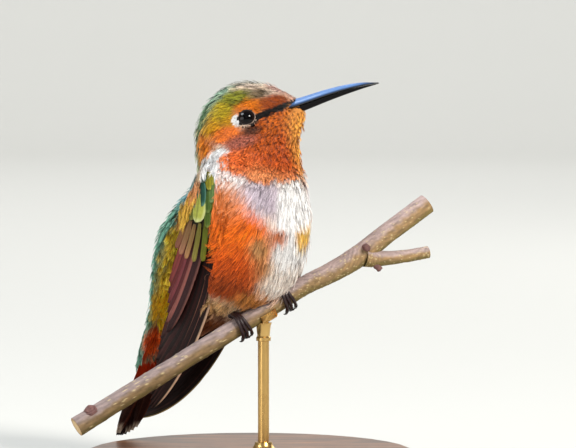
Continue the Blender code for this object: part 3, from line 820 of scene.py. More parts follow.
def around_eye(points, side):
    """Distance from the eye's line of sight, height along it, the way out from it, and that
    distance measured in the opening's own shape, in millimetres."""
    centre, axis, first, second = eye_frame(side)
    offset = (points - centre) / MM
    height = offset @ axis
    aside = offset - height[:, None] * axis
    shaped = np.hypot(aside @ first, (aside @ second) / EYE_NARROWING)
    return np.linalg.norm(aside, axis=1), height, unit(aside), shaped


BLEND_VOXEL, BLEND_ROUNDS = 0.6, 14
SKIN_VOXEL, SKIN_ROUNDS = 0.42, 5


def modify(piece, kind, **settings):
    made = piece.modifiers.new(kind.title(), kind)
    for key, value in settings.items():
        setattr(made, key, value)


def skin_mesh():
    """Head, neck, trunk and feathered legs as one surface, inside the coat."""
    bm = bmesh.new()
    add_loft(bm, TRUNK, TRUNK_SECTIONS)
    add_loft(bm, HEAD, HEAD_SECTIONS)
    for side in SIDES.values():
        bm.from_mesh(shank(side))
    mesh = bpy.data.meshes.new("skin")
    bm.to_mesh(mesh)
    bm.free()
    body = placed("forming", mesh, body=None)
    modify(body, "REMESH", mode="VOXEL", voxel_size=BLEND_VOXEL * MM)
    modify(body, "SMOOTH", factor=0.5, iterations=BLEND_ROUNDS)
    rooms = [wing_room(side) for side in SIDES.values()]
    for room in rooms:
        modify(body, "BOOLEAN", operation="DIFFERENCE", solver="EXACT", object=room)
    modify(body, "REMESH", mode="VOXEL", voxel_size=SKIN_VOXEL * MM)
    modify(body, "SMOOTH", factor=0.5, iterations=SKIN_ROUNDS)
    bpy.context.view_layer.update()
    mesh = evaluated(body)
    for room in rooms:
        bpy.data.objects.remove(room)
    points, normals = mesh_points(mesh), mesh_normals(mesh)
    points -= normals * coat_depth(points)[:, None]
    points = with_bill_base(with_chin(points))
    for side in SIDES.values():
        points = with_lids(points, side)
    move_points(mesh, points)
    mesh.shade_smooth()
    return mesh


def with_chin(points):
    """Draws the chin forward, where its feathers reach out under the bill."""
    offset = (local(HEAD, points) - np.array((10.8, 0.0, -1.7))) / (2.6, 2.6, 2.2)
    away = np.linalg.norm(offset, axis=1)
    return points + turned(HEAD, [(0.85 * MM, 0, 0.10 * MM)]) * np.exp(-(away**2))[:, None]


def bill_line(head):
    """The height of the bill's middle line and its radius, at points in the head's frame."""
    rows = np.array(BILL_LINE)
    return (np.interp(head[:, 0], rows[:, 0], rows[:, column]) for column in (1, 2))


def round_bill(points):
    """Room between points and the bill's surface, and whether the bill is bare there."""
    head = local(HEAD, points)
    middle, radius = bill_line(head)
    aside, up = head[:, 1], head[:, 2] - middle
    turn = np.arctan2(up, np.abs(aside))
    limit = 8.8 + 1.9 * ease(0.0, 1.1, turn) + 3.2 * ease(0.05, 0.8, -turn)
    return np.hypot(aside, up) - radius, head[:, 0] > limit


def with_bill_base(points):
    """Draws the skin in under the bare base of the bill."""
    room, bare = round_bill(points)
    head = local(HEAD, points)
    middle, _ = bill_line(head)
    spoke = unit(np.stack([np.zeros(len(head)), head[:, 1], head[:, 2] - middle], 1))
    moved = (room + 0.3) * (bare & (room < 1.6))
    return points - turned(HEAD, spoke) * (moved * MM)[:, None]


LID_REACH = 3.4


def with_lids(points, side):
    """Draws the skin round the eyeball: inside it within the opening, a lid outside."""
    aside, height, spoke, shaped = around_eye(points, side)
    centre, axis, _, _ = eye_frame(side)
    near = (height > 0) & (aside < LID_REACH)
    ball = np.sqrt(np.maximum(EYE_RADIUS**2 - aside**2, 0))
    hidden = ease(EYE_OPENING - 0.1, EYE_OPENING + 0.2, shaped)
    lid = ball + 0.10 - 0.8 * (1 - hidden)
    level = lid + (height - lid) * ease(1.5, 2.7, shaped)
    level = np.where(shaped < 1.5, lid, level)
    level = np.where(near, level, height)
    moved = centre + (axis * level[:, None] + spoke * aside[:, None]) * MM
    return np.where(near[:, None], moved, points)


# The lid's fold: how far beyond the opening, and how high over the eyeball.
LID_PROFILE = (
    (0.27, -0.45),
    (0.22, -0.02),
    (0.17, 0.07),
    (0.11, 0.10),
    (0.05, 0.08),
    (0.0, 0.0),
    (-0.03, -0.08),
)


def lid_mesh(side):
    """The rim of the lids: a thin fold that turns in to the eyeball."""
    centre, axis, first, second = eye_frame(side)
    around = 72
    turn = np.linspace(0, 2 * pi, around, endpoint=False)
    rows = []
    for beyond, rise in LID_PROFILE:
        radius = (EYE_OPENING + beyond) * (1 + 0.012 * np.sin(turn * 11))
        ring = np.outer(np.cos(turn), first) + np.outer(np.sin(turn) * EYE_NARROWING, second)
        wide = radius * np.linalg.norm(ring, axis=1)
        height = np.sqrt(np.maximum(EYE_RADIUS**2 - wide**2, 0.02)) + rise + 0.015 * np.sin(turn * 17)
        rows.append(centre + (ring * radius[:, None] + axis * height[:, None]) * MM)
    return round_mesh("lid", np.concatenate(rows), len(rows), around)


def lid_colours(lid, side):
    """Blackish lids with a thin pale line below and before the eye."""
    place = local(HEAD, mesh_points(lid)) - local(HEAD, np.array(eye_centre(side)))
    turn = np.arctan2(place[:, 2] - 0.35, place[:, 0] - 0.5)
    shaped = around_eye(mesh_points(lid), side)[3] - EYE_OPENING
    pale = np.exp(-(((turn + 0.55) / 0.85) ** 2)) * band(shaped, (0.08, 0.13), (0.20, 0.26))
    return mixed(rgb(14, 9, 9), rgb(206, 178, 160), pale * 0.7)


def skin():
    body = skin_mesh()
    # The skin takes the markings darkened, as painted shade under the coat of feathers.
    tint(body, markings(mesh_points(body)) * 0.55)
    lids = [lid_mesh(side) for side in SIDES.values()]
    for lid, side in zip(lids, SIDES.values()):
        tint(lid, lid_colours(lid, side))
    plain = body.copy()
    replaced = ("head", "neck", "trunk", "leg_right", "leg_left")
    mesh = joined_mesh("skin", [body, *lids])
    made = slotted("skin", mesh, FINISH["skin"], "pale_plumage", *replaced)
    unwrap(made)
    return made, plain


def unwrap(piece):
    """A map of the piece's own shape, named for the bake."""
    layer = piece.data.uv_layers.new(name="OFBake")
    piece.data.uv_layers.active = layer
    bpy.context.view_layer.objects.active = piece
    for other in bpy.context.selected_objects:
        other.select_set(False)
    piece.select_set(True)
    bpy.ops.object.mode_set(mode="EDIT")
    bpy.ops.mesh.select_all(action="SELECT")
    bpy.ops.uv.smart_project(angle_limit=radians(66), island_margin=0.004)
    bpy.ops.object.mode_set(mode="OBJECT")
    piece.select_set(False)


# ---- coat -----------------------------------------------------------------------------

COAT_SAMPLES = 150000  # random places on the skin, from which the feathers' roots are taken
# Zone: spacing of the feathers, their length, width and lift, barb tufts in each, width of
# a tuft, unevenness of light and dark, painted shade at the root, then how much the tip is
# brightened as a painted highlight and how much paler it is.
ZONES = {
    "crown": (0.35, 2.20, 0.74, 0.36, 7, 0.09, 0.34, 0.32, 0.40, 0.10),
    "face": (0.28, 1.35, 0.50, 0.16, 5, 0.08, 0.28, 0.42, 0.28, 0.05),
    "gorget": (0.35, 1.45, 0.80, 0.34, 7, 0.11, 0.30, 0.16, 0.40, 0.12),
    "bib": (0.58, 1.70, 1.15, 0.46, 9, 0.14, 0.24, 0.08, 0.45, 0.16),
    "collar": (0.35, 2.60, 0.64, 0.28, 7, 0.08, 0.24, 0.62, 0.20, 0.28),
    "breast": (0.37, 3.30, 0.66, 0.30, 7, 0.08, 0.34, 0.42, 0.26, 0.10),
    "belly": (0.41, 3.50, 0.80, 0.36, 7, 0.09, 0.30, 0.44, 0.26, 0.12),
    "back": (0.44, 2.40, 1.15, 0.36, 9, 0.13, 0.30, 0.32, 0.38, 0.14),
    "rump": (0.44, 2.70, 1.05, 0.32, 9, 0.12, 0.30, 0.46, 0.40, 0.10),
    "legs": (0.38, 1.60, 0.60, 0.22, 5, 0.10, 0.20, 0.50, 0.20, 0.30),
}
BRIGHT = ("crown", "gorget", "bib", "back", "rump")
HEAD_ZONES = ("crown", "face", "gorget", "bib")
RAGGED = ("crown", "back")  # zones where more feathers stand up
STRAY_LIFT = 1.3
ROOT_DEPTH = 0.05
MAP_PATCH = 0.0015  # half the size of a feather's patch in the map for the bake
SLOT = {
    **dict.fromkeys(("crown", "back", "rump"), "green_plumage"),
    **dict.fromkeys(("face", "gorget", "bib"), "orange_plumage"),
}
NARES = (9.8, 0.0, 0.7)  # the head's feathers spread from the bill's base


def zone_of(points):
    """The name of each point's zone of the coat."""
    head, trunk = local(HEAD, points), local(TRUNK, points)
    head[:, 1], trunk[:, 1] = np.abs(head[:, 1]), np.abs(trunk[:, 1])
    zone = np.full(len(points), "belly", dtype="<U8")
    zone[(trunk[:, 2] > -3) & (trunk[:, 0] > -2)] = "breast"
    zone[trunk[:, 0] < -3.4] = "back"
    zone[(trunk[:, 2] < -13) & (trunk[:, 0] < -1)] = "rump"
    zone[(trunk[:, 2] > 7.6) & (trunk[:, 0] > -4)] = "collar"
    onhead = (head[:, 2] > -7) & (trunk[:, 2] > 10.5)
    zone[onhead & (zone != "collar")] = "crown"
    zone[onhead & (head[:, 2] > -3.2)] = "crown"
    zone[onhead & (neck_patch_mask(head, trunk) > 0.5)] = "collar"
    zone[gorget_mask(head, trunk) > 0.5] = "gorget"
    zone[(zone == "gorget") & (head[:, 0] > 5.4)] = "bib"
    inface = (head[:, 2] > -3.6) & (head[:, 2] < 3.7) & (head[:, 0] > -1.6)
    zone[inface & (zone == "crown")] = "face"
    for side in SIDES.values():
        high, low = (np.array(end) for end in shank_ends(side))
        run = low - high
        share = np.clip((points - high) @ run / (run @ run), 0, 1)
        away = np.linalg.norm(points - high - share[:, None] * run, axis=1) / MM
        zone[(away < 1.5) & (share > 0.45)] = "legs"
    return zone


def lie(points, normals):
    """The way the feathers lie at each point, along the skin."""
    head, trunk = local(HEAD, points), local(TRUNK, points)
    spread = head - np.array(NARES)
    spread[:, 2] -= 14 * ease(-1, -8, head[:, 0])
    aside = np.abs(trunk[:, 1])
    back = 0.75 * ease(4, 11, aside) * ease(-8, -1, trunk[:, 0]) * ease(-16, -8, trunk[:, 2])
    along = np.stack([-back, np.zeros(len(points)), -np.ones(len(points))], 1)
    share = ease(7.5, 13.0, trunk[:, 2])
    flow = mixed(turned(TRUNK, unit(along)), turned(HEAD, unit(spread)), share)
    flow -= normals * np.sum(flow * normals, axis=1, keepdims=True)
    return unit(flow)


def square_gap(a, b):
    return (a[0] - b[0]) ** 2 + (a[1] - b[1]) ** 2 + (a[2] - b[2]) ** 2


def scattered(points, spacing):
    """Indices of points at least this far apart, taken in their order."""
    cells, kept = {}, []
    keys = np.floor(points / spacing).astype(int)
    around = [(x, y, z) for x in (-1, 0, 1) for y in (-1, 0, 1) for z in (-1, 0, 1)]
    limit = spacing * spacing
    for index, (key, here) in enumerate(zip(keys.tolist(), points.tolist())):
        near = (cells.get((key[0] + x, key[1] + y, key[2] + z), ()) for x, y, z in around)
        if not any(square_gap(here, there) < limit for cell in near for there in cell):
            cells.setdefault(tuple(key), []).append(here)
            kept.append(index)
    return np.array(kept, int)


def surface_samples(mesh, count, limit):
    """Random places on a mesh's first faces: point, normal and map place of each."""
    mesh.calc_loop_triangles()
    corners = numbers(mesh.loop_triangles, "vertices", 3, np.int32)
    loops = numbers(mesh.loop_triangles, "loops", 3, np.int32)
    own = corners.max(axis=1) < limit
    corners, loops = corners[own], loops[own]
    points, normals = mesh_points(mesh), mesh_normals(mesh)
    places = numbers(mesh.uv_layers["OFBake"].data, "uv", 2, np.float32)
    a, b, c = (points[corners[:, i]] for i in range(3))
    area = np.linalg.norm(np.cross(b - a, c - a), axis=1)
    chosen = RANDOM.choice(len(corners), count, p=area / area.sum())
    weights = RANDOM.dirichlet((1, 1, 1), count)[:, :, None]
    return (
        (points[corners[chosen]] * weights).sum(1),
        unit((normals[corners[chosen]] * weights).sum(1)),
        (places[loops[chosen]] * weights).sum(1),
    )


def tree_of(meshes):
    points, corners, start = [], [], 0
    for mesh in meshes:
        mesh.calc_loop_triangles()
        points += mesh_points(mesh).tolist()
        corners += (numbers(mesh.loop_triangles, "vertices", 3, np.int32) + start).tolist()
        start = len(points)
    return BVHTree.FromPolygons(points, corners)


DRAPE_REACH = 3.2
TWIG_CLEARANCE = 0.35
CLIMB_LIMIT, DROP_LIMIT = 0.95, -2.0
WING_SHADE = 7  # how far over the skin a wing hides its feathers


def draped(tree, points, normals):
    """The points let down on the outermost surface under them, with its normals."""
    high = points + normals * DRAPE_REACH * MM
    laid, facing = points.copy(), normals.copy()
    for i, (start, ahead) in enumerate(zip(high.tolist(), (-normals).tolist())):
        hit, normal, _, _ = tree.ray_cast(start, ahead, 2 * DRAPE_REACH * MM)
        if hit is None:
            hit, normal, _, _ = tree.find_nearest(points[i])
        laid[i] = hit
        if normal.dot(Vector(normals[i])) > 0.2:
            facing[i] = normal
    return laid, unit(facing + normals * 0.5)


def clear_of_twig(points):
    """Points pushed out of the round of the twig."""
    run = np.array(TWIG_RUN)
    offset = points - np.array(GRIP)
    across = offset - (offset @ run)[:, None] * run
    away = np.linalg.norm(across, axis=1, keepdims=True)
    limit = (TWIG_RADIUS + TWIG_CLEARANCE) * MM
    return points + unit(across) * np.maximum(limit - away, 0)


TUFT_ROWS = (0.0, 0.5, 0.82)


def tuft_layout(barbs):
    """One feather's tufts of barbs, fanned from its shaft: for each corner the tuft, how
    far along the tuft, how far along the feather, across it, and the side of the tuft."""
    rows, corners = [], []
    for k in range(barbs):
        angle = radians(78) * (2 * k / (barbs - 1) - 1)
        start = (0.12 + 0.26 * cos(angle), 0.22 * sin(angle))
        end = (0.56 + 0.44 * cos(angle), sin(angle))
        first = len(rows)
        for t in TUFT_ROWS:
            along = start[0] + (end[0] - start[0]) * t
            across = start[1] + (end[1] - start[1]) * t**0.75
            half = 1 - 0.55 * t
            rows += [(k, t, along, across, -half), (k, t, along, across, half)]
        rows.append((k, 1.0, *end, 0.0))
        for row in range(len(TUFT_ROWS) - 1):
            a = first + 2 * row
            corners += [(a, a + 1, a + 3), (a, a + 3, a + 2)]
        corners.append((first + 4, first + 5, first + 6))
    tuft, *others = np.array(rows, float).T
    return tuft.astype(int), *others, np.array(corners)


def feather_colours(zone, colours, tuft, reach):
    """Each feather's colour: painted shade darkens its root, it is streaked by tuft, and its tip is
    paler and brightened by a painted highlight.
    """
    *_, barbs, _, uneven, dark, tip_highlight_gain, tip_pale = ZONES[zone]
    count = len(colours)
    streak = 1 + RANDOM.normal(0, uneven, (count, barbs))[:, tuft]
    whole = 1 + RANDOM.normal(0, 0.07, (count, 1))
    # painted shade: each feather is darker towards its root, where the feathers overlap
    shade = (dark + (1 - dark) * ease(0.0, 0.75, reach)) * np.clip(streak, 0.35, 1.7) * whole
    # painted highlight: each feather is brighter towards its tip
    painted_tip_highlight = ease(0.4, 1.0, reach) * RANDOM.uniform(0.2, 1.4, (count, 1))
    painted = colours[:, None] * shade[:, :, None] * (1 + tip_highlight_gain * painted_tip_highlight[:, :, None])
    frosted = tip_pale * painted_tip_highlight + 0.22 * np.maximum(streak - 1, 0)
    painted = mixed(painted, colours[:, None] ** 0.6, np.clip(frosted, 0, 1))
    return np.clip(painted, 0, 1)


def feather_mesh(name, roots, normals, places, flow, zone, tree, colours=None, size=1.0):
    """Feathers at these roots, as one mesh. Each is a fan of pointed tufts that bends over
    the surface, with its own patch in the map for the bake."""
    _, length, width, lift, barbs, thick, *_ = ZONES[zone]
    tuft, reach, along, across, edge, corners = tuft_layout(barbs)
    count = len(roots)
    size = np.broadcast_to(size, count)[:, None]
    long = length * MM * RANDOM.uniform(0.82, 1.18, (count, 1)) * size
    sideways = np.cross(normals, flow)
    flow = unit(flow + sideways * RANDOM.normal(0, 0.055, (count, 1)))
    middle, middle_normal = draped(tree, roots + flow * long * 0.5, normals)
    tip, tip_normal = draped(tree, roots + flow * long, middle_normal)
    lying = 0.82 if zone in RAGGED else 0.94
    stray = (RANDOM.uniform(0, 1, (count, 1)) > lying) * STRAY_LIFT
    rise = lift * MM * (RANDOM.uniform(0.35, 1.25, (count, 1)) + stray) * size
    middle = clear_of_twig(middle + middle_normal * rise * 0.7)
    tip = clear_of_twig(tip + tip_normal * rise)
    start = roots - normals * ROOT_DEPTH * MM
    bend = 2 * middle - (start + tip) / 2
    cross = unit(np.cross(middle_normal, tip - start))
    ends = RANDOM.normal(0, 0.05, (count, barbs))[:, tuft] * reach
    s = np.clip(along + ends, 0, 1.15)[:, :, None]
    x = (across + RANDOM.normal(0, 0.045, (count, barbs))[:, tuft] * reach)[:, :, None]
    centre = (1 - s) ** 2 * start[:, None] + 2 * s * (1 - s) * bend[:, None] + s**2 * tip[:, None]
    half = width / 2 * MM * size[:, :, None]
    facing = middle_normal[:, None]
    centre = centre + cross[:, None] * x * half - facing * x**2 * half * 0.22
    twist = RANDOM.normal(0, 0.35, (count, barbs))[:, tuft][:, :, None]
    blade = cross[:, None] * np.cos(twist) + facing * np.sin(twist)
    points = centre + blade * (edge * thick / 2 * MM)[None, :, None] * size[:, :, None]
    if colours is None:
        colours = markings(start * 0.2 + tip * 0.8)
    painted = feather_colours(zone, colours, tuft, reach)
    triangles = (corners[None] + np.arange(count)[:, None, None] * len(tuft)).reshape(-1, 3)
    mesh = triangle_mesh(name, points.reshape(-1, 3), triangles)
    tint(mesh, painted.reshape(-1, 3))
    patch = places[:, None] + np.stack([across, along * 2 - 1], 1)[None] * MAP_PATCH
    store_map(mesh, "OFBake", patch.reshape(-1, 2)[triangles.ravel()])
    return mesh


def outside_eye(points, room):
    """True where points aren't in front of an eye's opening."""
    free = np.ones(len(points), bool)
    for side in SIDES.values():
        _, height, _, shaped = around_eye(points, side)
        free &= (shaped > EYE_OPENING + room) | (height < 0)
    return free


def outlook(points, normals):
    """The way out of the coat, turned a little away from the middle of the wing."""
    forward = local(TRUNK, points)[:, 0]
    tilt = 0.45 * (ease(-3, 3, forward) * 2 - 1) - 0.7 * (1 - ease(-5.6, -4.2, forward))
    return unit(normals + tilt[:, None] * turned(TRUNK, [(1.0, 0.0, 0.0)]))


def steep(tree, roots, normals, reach):
    """Whether a feather of this reach would climb or drop over an edge."""
    unfit = np.zeros(len(roots), bool)
    for share in (0.5, 1.0):
        laid, _ = draped(tree, roots + reach * share * MM, normals)
        climb = ((laid - roots) * normals).sum(1) / MM
        unfit |= (climb > CLIMB_LIMIT) | (climb < DROP_LIMIT)
    return unfit


def under_wing(wing_tree, root, normal):
    """Whether a wing lies over each root."""
    rays = zip((root + normal * 0.3 * MM).tolist(), outlook(root, normal).tolist())
    hits = [wing_tree.ray_cast(*ray, WING_SHADE * MM)[0] for ray in rays]
    return np.array([hit is not None for hit in hits])


def picked(own, *arrays):
    return [array[own] for array in arrays]


def smaller_by_face(root, flow, size, length):
    """The size of the head's feathers: less by the bill and the eyes, and off the eyeballs."""
    away = np.linalg.norm(local(HEAD, root) - np.array(NARES), axis=1)
    size = size * (0.72 + 0.28 * ease(1.5, 8.0, away))
    by_eye = np.minimum(*(around_eye(root, side)[3] for side in SIDES.values()))
    size = size * (0.55 + 0.45 * ease(1.6, 3.6, by_eye))
    blocked = ~outside_eye(root + flow * length * size[:, None], 0.06)
    return np.where(blocked, size * 0.55, size)


def coat(body, plain, tree, wing_tree):
    """The contour feathers over the whole skin, one piece for each zone."""
    points, normals, places = surface_samples(body.data, COAT_SAMPLES, len(plain.vertices))
    zones = zone_of(points)
    room, bare = round_bill(points)
    shown = outside_eye(points, 0.12) & ~(bare & (room < 0.12))
    for zone, (spacing, length, *_) in ZONES.items():
        own = np.flatnonzero(shown & (zones == zone))
        own = own[scattered(points[own], spacing * MM)]
        root, normal, place = picked(own, points, normals, places)
        root, normal, place = picked(~under_wing(wing_tree, root, normal), root, normal, place)
        flow = lie(root, normal)
        size = np.where(steep(tree, root, normal, flow * length), 0.5, 1.0)
        free = ~steep(tree, root, normal, flow * size[:, None] * length)
        root, normal, place, flow, size = picked(free, root, normal, place, flow, size)
        if zone in HEAD_ZONES:
            size = smaller_by_face(root, flow, size, length * MM)
            clear = outside_eye(root + flow * length * MM * size[:, None], 0.0)
            root, normal, place, flow, size = picked(clear, root, normal, place, flow, size)
        name = "coat_" + zone
        mesh = feather_mesh(name, root, normal, place, flow, zone, tree, size=size)
        finish = FINISH["bright" if zone in BRIGHT else "soft"]
        slotted(name, mesh, finish, SLOT.get(zone, "pale_plumage"))


# ---- large feathers -------------------------------------------------------------------

BARB_SLANT = 1.1  # how far a barb runs towards the tip for its reach from the shaft
BARB_PHASE = 26.0  # radians of the barbs' wave to a millimetre
WING_LENGTH = 48  # millimetres of vane to a unit along the wing
VANE_CUP, SHAFT_RIDGE, RIDGE_WIDTH, SHAFT_WIDTH = 0.16, 0.09, 0.14, 0.11


def plume(place, root, tip, half_width, bow, out, look, rows, columns=13, thick=0.16, shape=vane):
    """A vaned feather with its shaft. place(along, across, out) gives world points. look is
    its colours (vane, leading edge, trailing edge, shaft, tip), how far the tip's reaches,
    and where the leading edge's begins."""
    body, leading, trailing, shaft, end, end_reach, edge_from = look
    us = np.linspace(0, 1, rows)
    vs = np.linspace(-1, 1, columns)
    length = max(abs(tip[0] - root[0]) * WING_LENGTH, 4)
    nicks = {int(i): RANDOM.uniform(0.92, 0.97) for i in RANDOM.integers(rows // 2, rows - 3, 2)}
    phase = RANDOM.uniform(0, 6, 3)
    points, colours, maps = [], [], []
    for i, u in enumerate(us):
        middle = root[1] + (tip[1] - root[1]) * u + bow * 4 * u * (1 - u)
        half = shape(u, half_width)
        top, low = [], []
        for v in vs:
            edge = nicks.get(i, 1.0) if abs(v) > 0.99 else 1.0
            aside = v * half * edge
            cup = VANE_CUP * half_width * (1 - v * v)
            ridge = SHAFT_RIDGE * np.exp(-((aside / RIDGE_WIDTH) ** 2)) * (1 - 0.7 * u)
            body_thick = thick * (1 - 0.75 * v * v)
            along = root[0] + (tip[0] - root[0]) * u
            top.append(place(along, middle + aside, out + cup + ridge + body_thick / 2))
            low.append(place(along, middle + aside, out + cup - ridge * 0.6 - body_thick / 2))
            barb = u * length - abs(aside) * BARB_SLANT
            uneven = 1 + 0.10 * sin(barb * 5 + phase[0]) * sin(barb * 13 + phase[1])
            uneven += 0.05 * sin(barb * 31)
            tone = body * uneven * (0.72 + 0.28 * min(1, u * 2.4))
            tone = mixed(tone, leading, ease(edge_from, edge_from * 0.4 + 0.58, v))
            tone = mixed(tone, trailing, ease(0.70, 1.0, -v))
            tone = mixed(tone, end, ease(1 - end_reach, 1.0, u))
            tone = mixed(tone, shaft, 0.8 * np.exp(-((aside / SHAFT_WIDTH) ** 2)))
            colours.append(np.clip(tone, 0, 1))
            maps.append((aside, u * length))
        points += top + low[::-1]
        colours += colours[-columns:][::-1]
        maps += maps[-columns:][::-1]
    around = 2 * columns
    corners = grid_triangles(rows, around, wrap=True)
    caps = []
    for base in (0, (rows - 1) * around):
        for j in range(columns - 1):
            a, b, c, d = base + j, base + j + 1, base + around - 2 - j, base + around - 1 - j
            pair = [(a, b, c), (a, c, d)]
            caps += pair if base else [p[::-1] for p in pair]
    corners = np.concatenate([corners, caps])
    mesh = triangle_mesh("plume", points, corners)
    tint(mesh, np.array(colours))
    store_map(mesh, "Vane", np.array(maps)[corners.ravel()])
    return facing_out(mesh)


def feather_finish():
    """Vanes with fine barbs that slant from the shaft."""
    finish = Finish("vaned_feather", 0.5, Specular_IOR_Level=0.14).tinted(0.85, 1.12, 900)
    vane_map = finish.node("ShaderNodeUVMap", uv_map="Vane")
    split = finish.node("ShaderNodeSeparateXYZ", {"Vector": vane_map.outputs["UV"]})
    away = finish.maths("ABSOLUTE", split.outputs["X"])
    slant = finish.maths("MULTIPLY_ADD", away, -BARB_SLANT, split.outputs["Y"])
    wave = finish.maths("SINE", finish.maths("MULTIPLY", slant, BARB_PHASE))
    return finish.bump(wave, 0.5, 0.00004).made


FINISH["vane"] = feather_finish()
MAROON = rgb(84, 32, 32)
DARK = rgb(15, 5, 4)
FLIGHT_TIP = rgb(16, 6, 5)
# The pale line on the leading edge of each primary, from the outermost inward.
EDGE_LINES = (
    rgb(246, 206, 172),
    rgb(70, 30, 28),
    rgb(196, 126, 112),
    rgb(60, 26, 24),
    rgb(214, 140, 112),
    rgb(70, 32, 28),
    rgb(60, 26, 24),
    rgb(140, 74, 62),
    rgb(66, 28, 28),
    rgb(120, 60, 56),
)
SECONDARY_TONES = (
    rgb(48, 18, 20),
    rgb(136, 78, 70),
    rgb(78, 26, 28),
    rgb(112, 48, 52),
    rgb(90, 32, 34),
    rgb(120, 52, 50),
)


def vanes(name, meshes, slot):
    """Large feathers as one piece, in place of the solid they belong to."""
    joined = joined_mesh(name + "_vanes", meshes)
    return slotted(name + "_vanes", joined, FINISH["vane"], slot, name).data


def primary_look(side, index):
    inner = index / (PRIMARIES - 1)
    tone = mixed(DARK, MAROON, 0.05 + 0.35 * inner * (index % 2))
    line = EDGE_LINES[index] if side == RIGHT else rgb(150, 124, 70) * (1.0 if index == 0 else 0.3)
    edge_from = 0.74 if index == 0 else 0.70 if index in (2, 4) else 0.82
    return (tone, line, tone * 0.7, rgb(64, 34, 28), FLIGHT_TIP, 0.12, edge_from)


def flight_feathers(side, label):
    place = partial(wing_point, side)
    blades = []
    for i in range(PRIMARIES):
        inner = i / (PRIMARIES - 1)
        root = (0.20 + 0.10 * inner, 2.6 - 4.6 * inner)
        tip = (1.0 - 0.28 * inner**1.5, -4.2 * inner)
        look = primary_look(side, i)
        out = -3.75 + 1.08 * inner
        half, bow = 1.5 + 0.6 * inner, 1.3 - 0.8 * inner
        blades.append(plume(place, root, tip, half, bow, out, look, rows=64))
    primaries = vanes(f"wing_{label}_primaries", blades, "flight_feathers")
    blades = []
    for i in range(SECONDARIES):
        inner = i / (SECONDARIES - 1)
        root = (0.16 + 0.04 * inner, -0.4 - 3.6 * inner)
        tip = (0.66 - 0.16 * inner, -2.4 - 3.4 * inner)
        tone = SECONDARY_TONES[i]
        edge = mixed(tone, rgb(190, 128, 116), 0.5)
        look = (tone, edge, tone * 0.4, tone * 0.5, tone * 0.7, 0.15, 0.78)
        blades.append(plume(place, root, tip, 1.6, 0.3, -1.85 + 0.5 * inner, look, rows=44))
    return [primaries, vanes(f"wing_{label}_secondaries", blades, "flight_feathers")]


# Large coverts, trailing to leading: root and tip as (along, across), half width, height,
# colour near the root, colour near the tip.
LARGE_COVERTS = (
    ((0.17, -3.6), (0.335, -5.2), 0.80, -0.20, rgb(150, 112, 40), rgb(150, 92, 72)),
    ((0.18, -2.2), (0.340, -3.4), 0.75, -0.12, rgb(120, 104, 30), rgb(186, 128, 96)),
    ((0.19, -0.9), (0.335, -1.5), 0.62, -0.02, rgb(92, 92, 26), rgb(200, 146, 96)),
    ((0.18, 0.4), (0.325, 0.6), 0.60, 0.00, rgb(96, 98, 26), rgb(158, 144, 66)),
    ((0.17, 1.7), (0.305, 2.6), 0.66, -0.06, rgb(98, 116, 28), rgb(122, 122, 28)),
    ((0.15, 2.8), (0.275, 4.0), 0.60, -0.20, rgb(72, 96, 26), rgb(90, 98, 28)),
    ((0.12, 3.6), (0.240, 4.7), 0.55, -0.34, rgb(66, 84, 26), rgb(104, 104, 34)),
)
# Scale-like coverts over them, lowest first: root, tip, half width, height, colour, edge.
SMALL_COVERTS = (
    ((0.110, 3.3), (0.200, 3.7), 0.75, -0.16, rgb(84, 112, 32), rgb(132, 146, 64)),
    ((0.105, 1.6), (0.190, 2.4), 0.85, -0.02, rgb(96, 122, 40), rgb(150, 162, 84)),
    ((0.100, -3.2), (0.185, -3.7), 1.00, -0.06, rgb(120, 104, 50), rgb(160, 130, 80)),
    ((0.090, -1.6), (0.180, -1.9), 1.00, 0.04, rgb(116, 124, 48), rgb(160, 150, 84)),
    ((0.070, 0.2), (0.180, -0.1), 1.75, 0.12, rgb(204, 208, 92), rgb(250, 255, 200)),
    ((0.060, 3.3), (0.145, 3.5), 0.80, 0.02, rgb(128, 116, 30), rgb(172, 160, 66)),
    ((0.060, 1.9), (0.140, 2.2), 0.85, 0.12, rgb(88, 118, 44), rgb(150, 168, 90)),
    ((0.045, -2.8), (0.130, -3.2), 1.00, 0.10, rgb(124, 120, 60), rgb(170, 150, 96)),
    ((0.030, -1.0), (0.125, -1.0), 0.95, 0.20, rgb(92, 134, 110), rgb(150, 180, 160)),
    ((0.030, 2.9), (0.105, 2.8), 0.90, 0.16, rgb(116, 148, 80), rgb(176, 196, 138)),
    ((0.020, 4.0), (0.095, 4.1), 0.70, 0.02, rgb(104, 130, 52), rgb(160, 176, 110)),
    ((0.010, 0.5), (0.118, 0.9), 0.85, 0.28, rgb(28, 84, 66), rgb(112, 160, 142)),
    ((0.000, 2.2), (0.062, 2.4), 0.95, 0.30, rgb(170, 160, 36), rgb(206, 198, 92)),
    ((-0.015, 3.6), (0.045, 3.8), 0.80, 0.16, rgb(112, 140, 66), rgb(176, 190, 130)),
    ((-0.020, 1.2), (0.030, 1.4), 0.80, 0.36, rgb(52, 78, 40), rgb(120, 140, 84)),
)


def round_vane(u, half_width):
    """A short feather with a round end."""
    swell = 0.45 + 0.55 * ease(0, 0.4, u)
    return half_width * swell * sqrt(max(0.003, 1 - max(0, (u - 0.52) / 0.48) ** 2))


def blunt_vane(u, half_width):
    """A long covert with nearly straight sides and a blunt end."""
    swell = 0.6 + 0.4 * ease(0, 0.3, u)
    return half_width * swell * sqrt(max(0.02, 1 - max(0, (u - 0.88) / 0.12) ** 2))


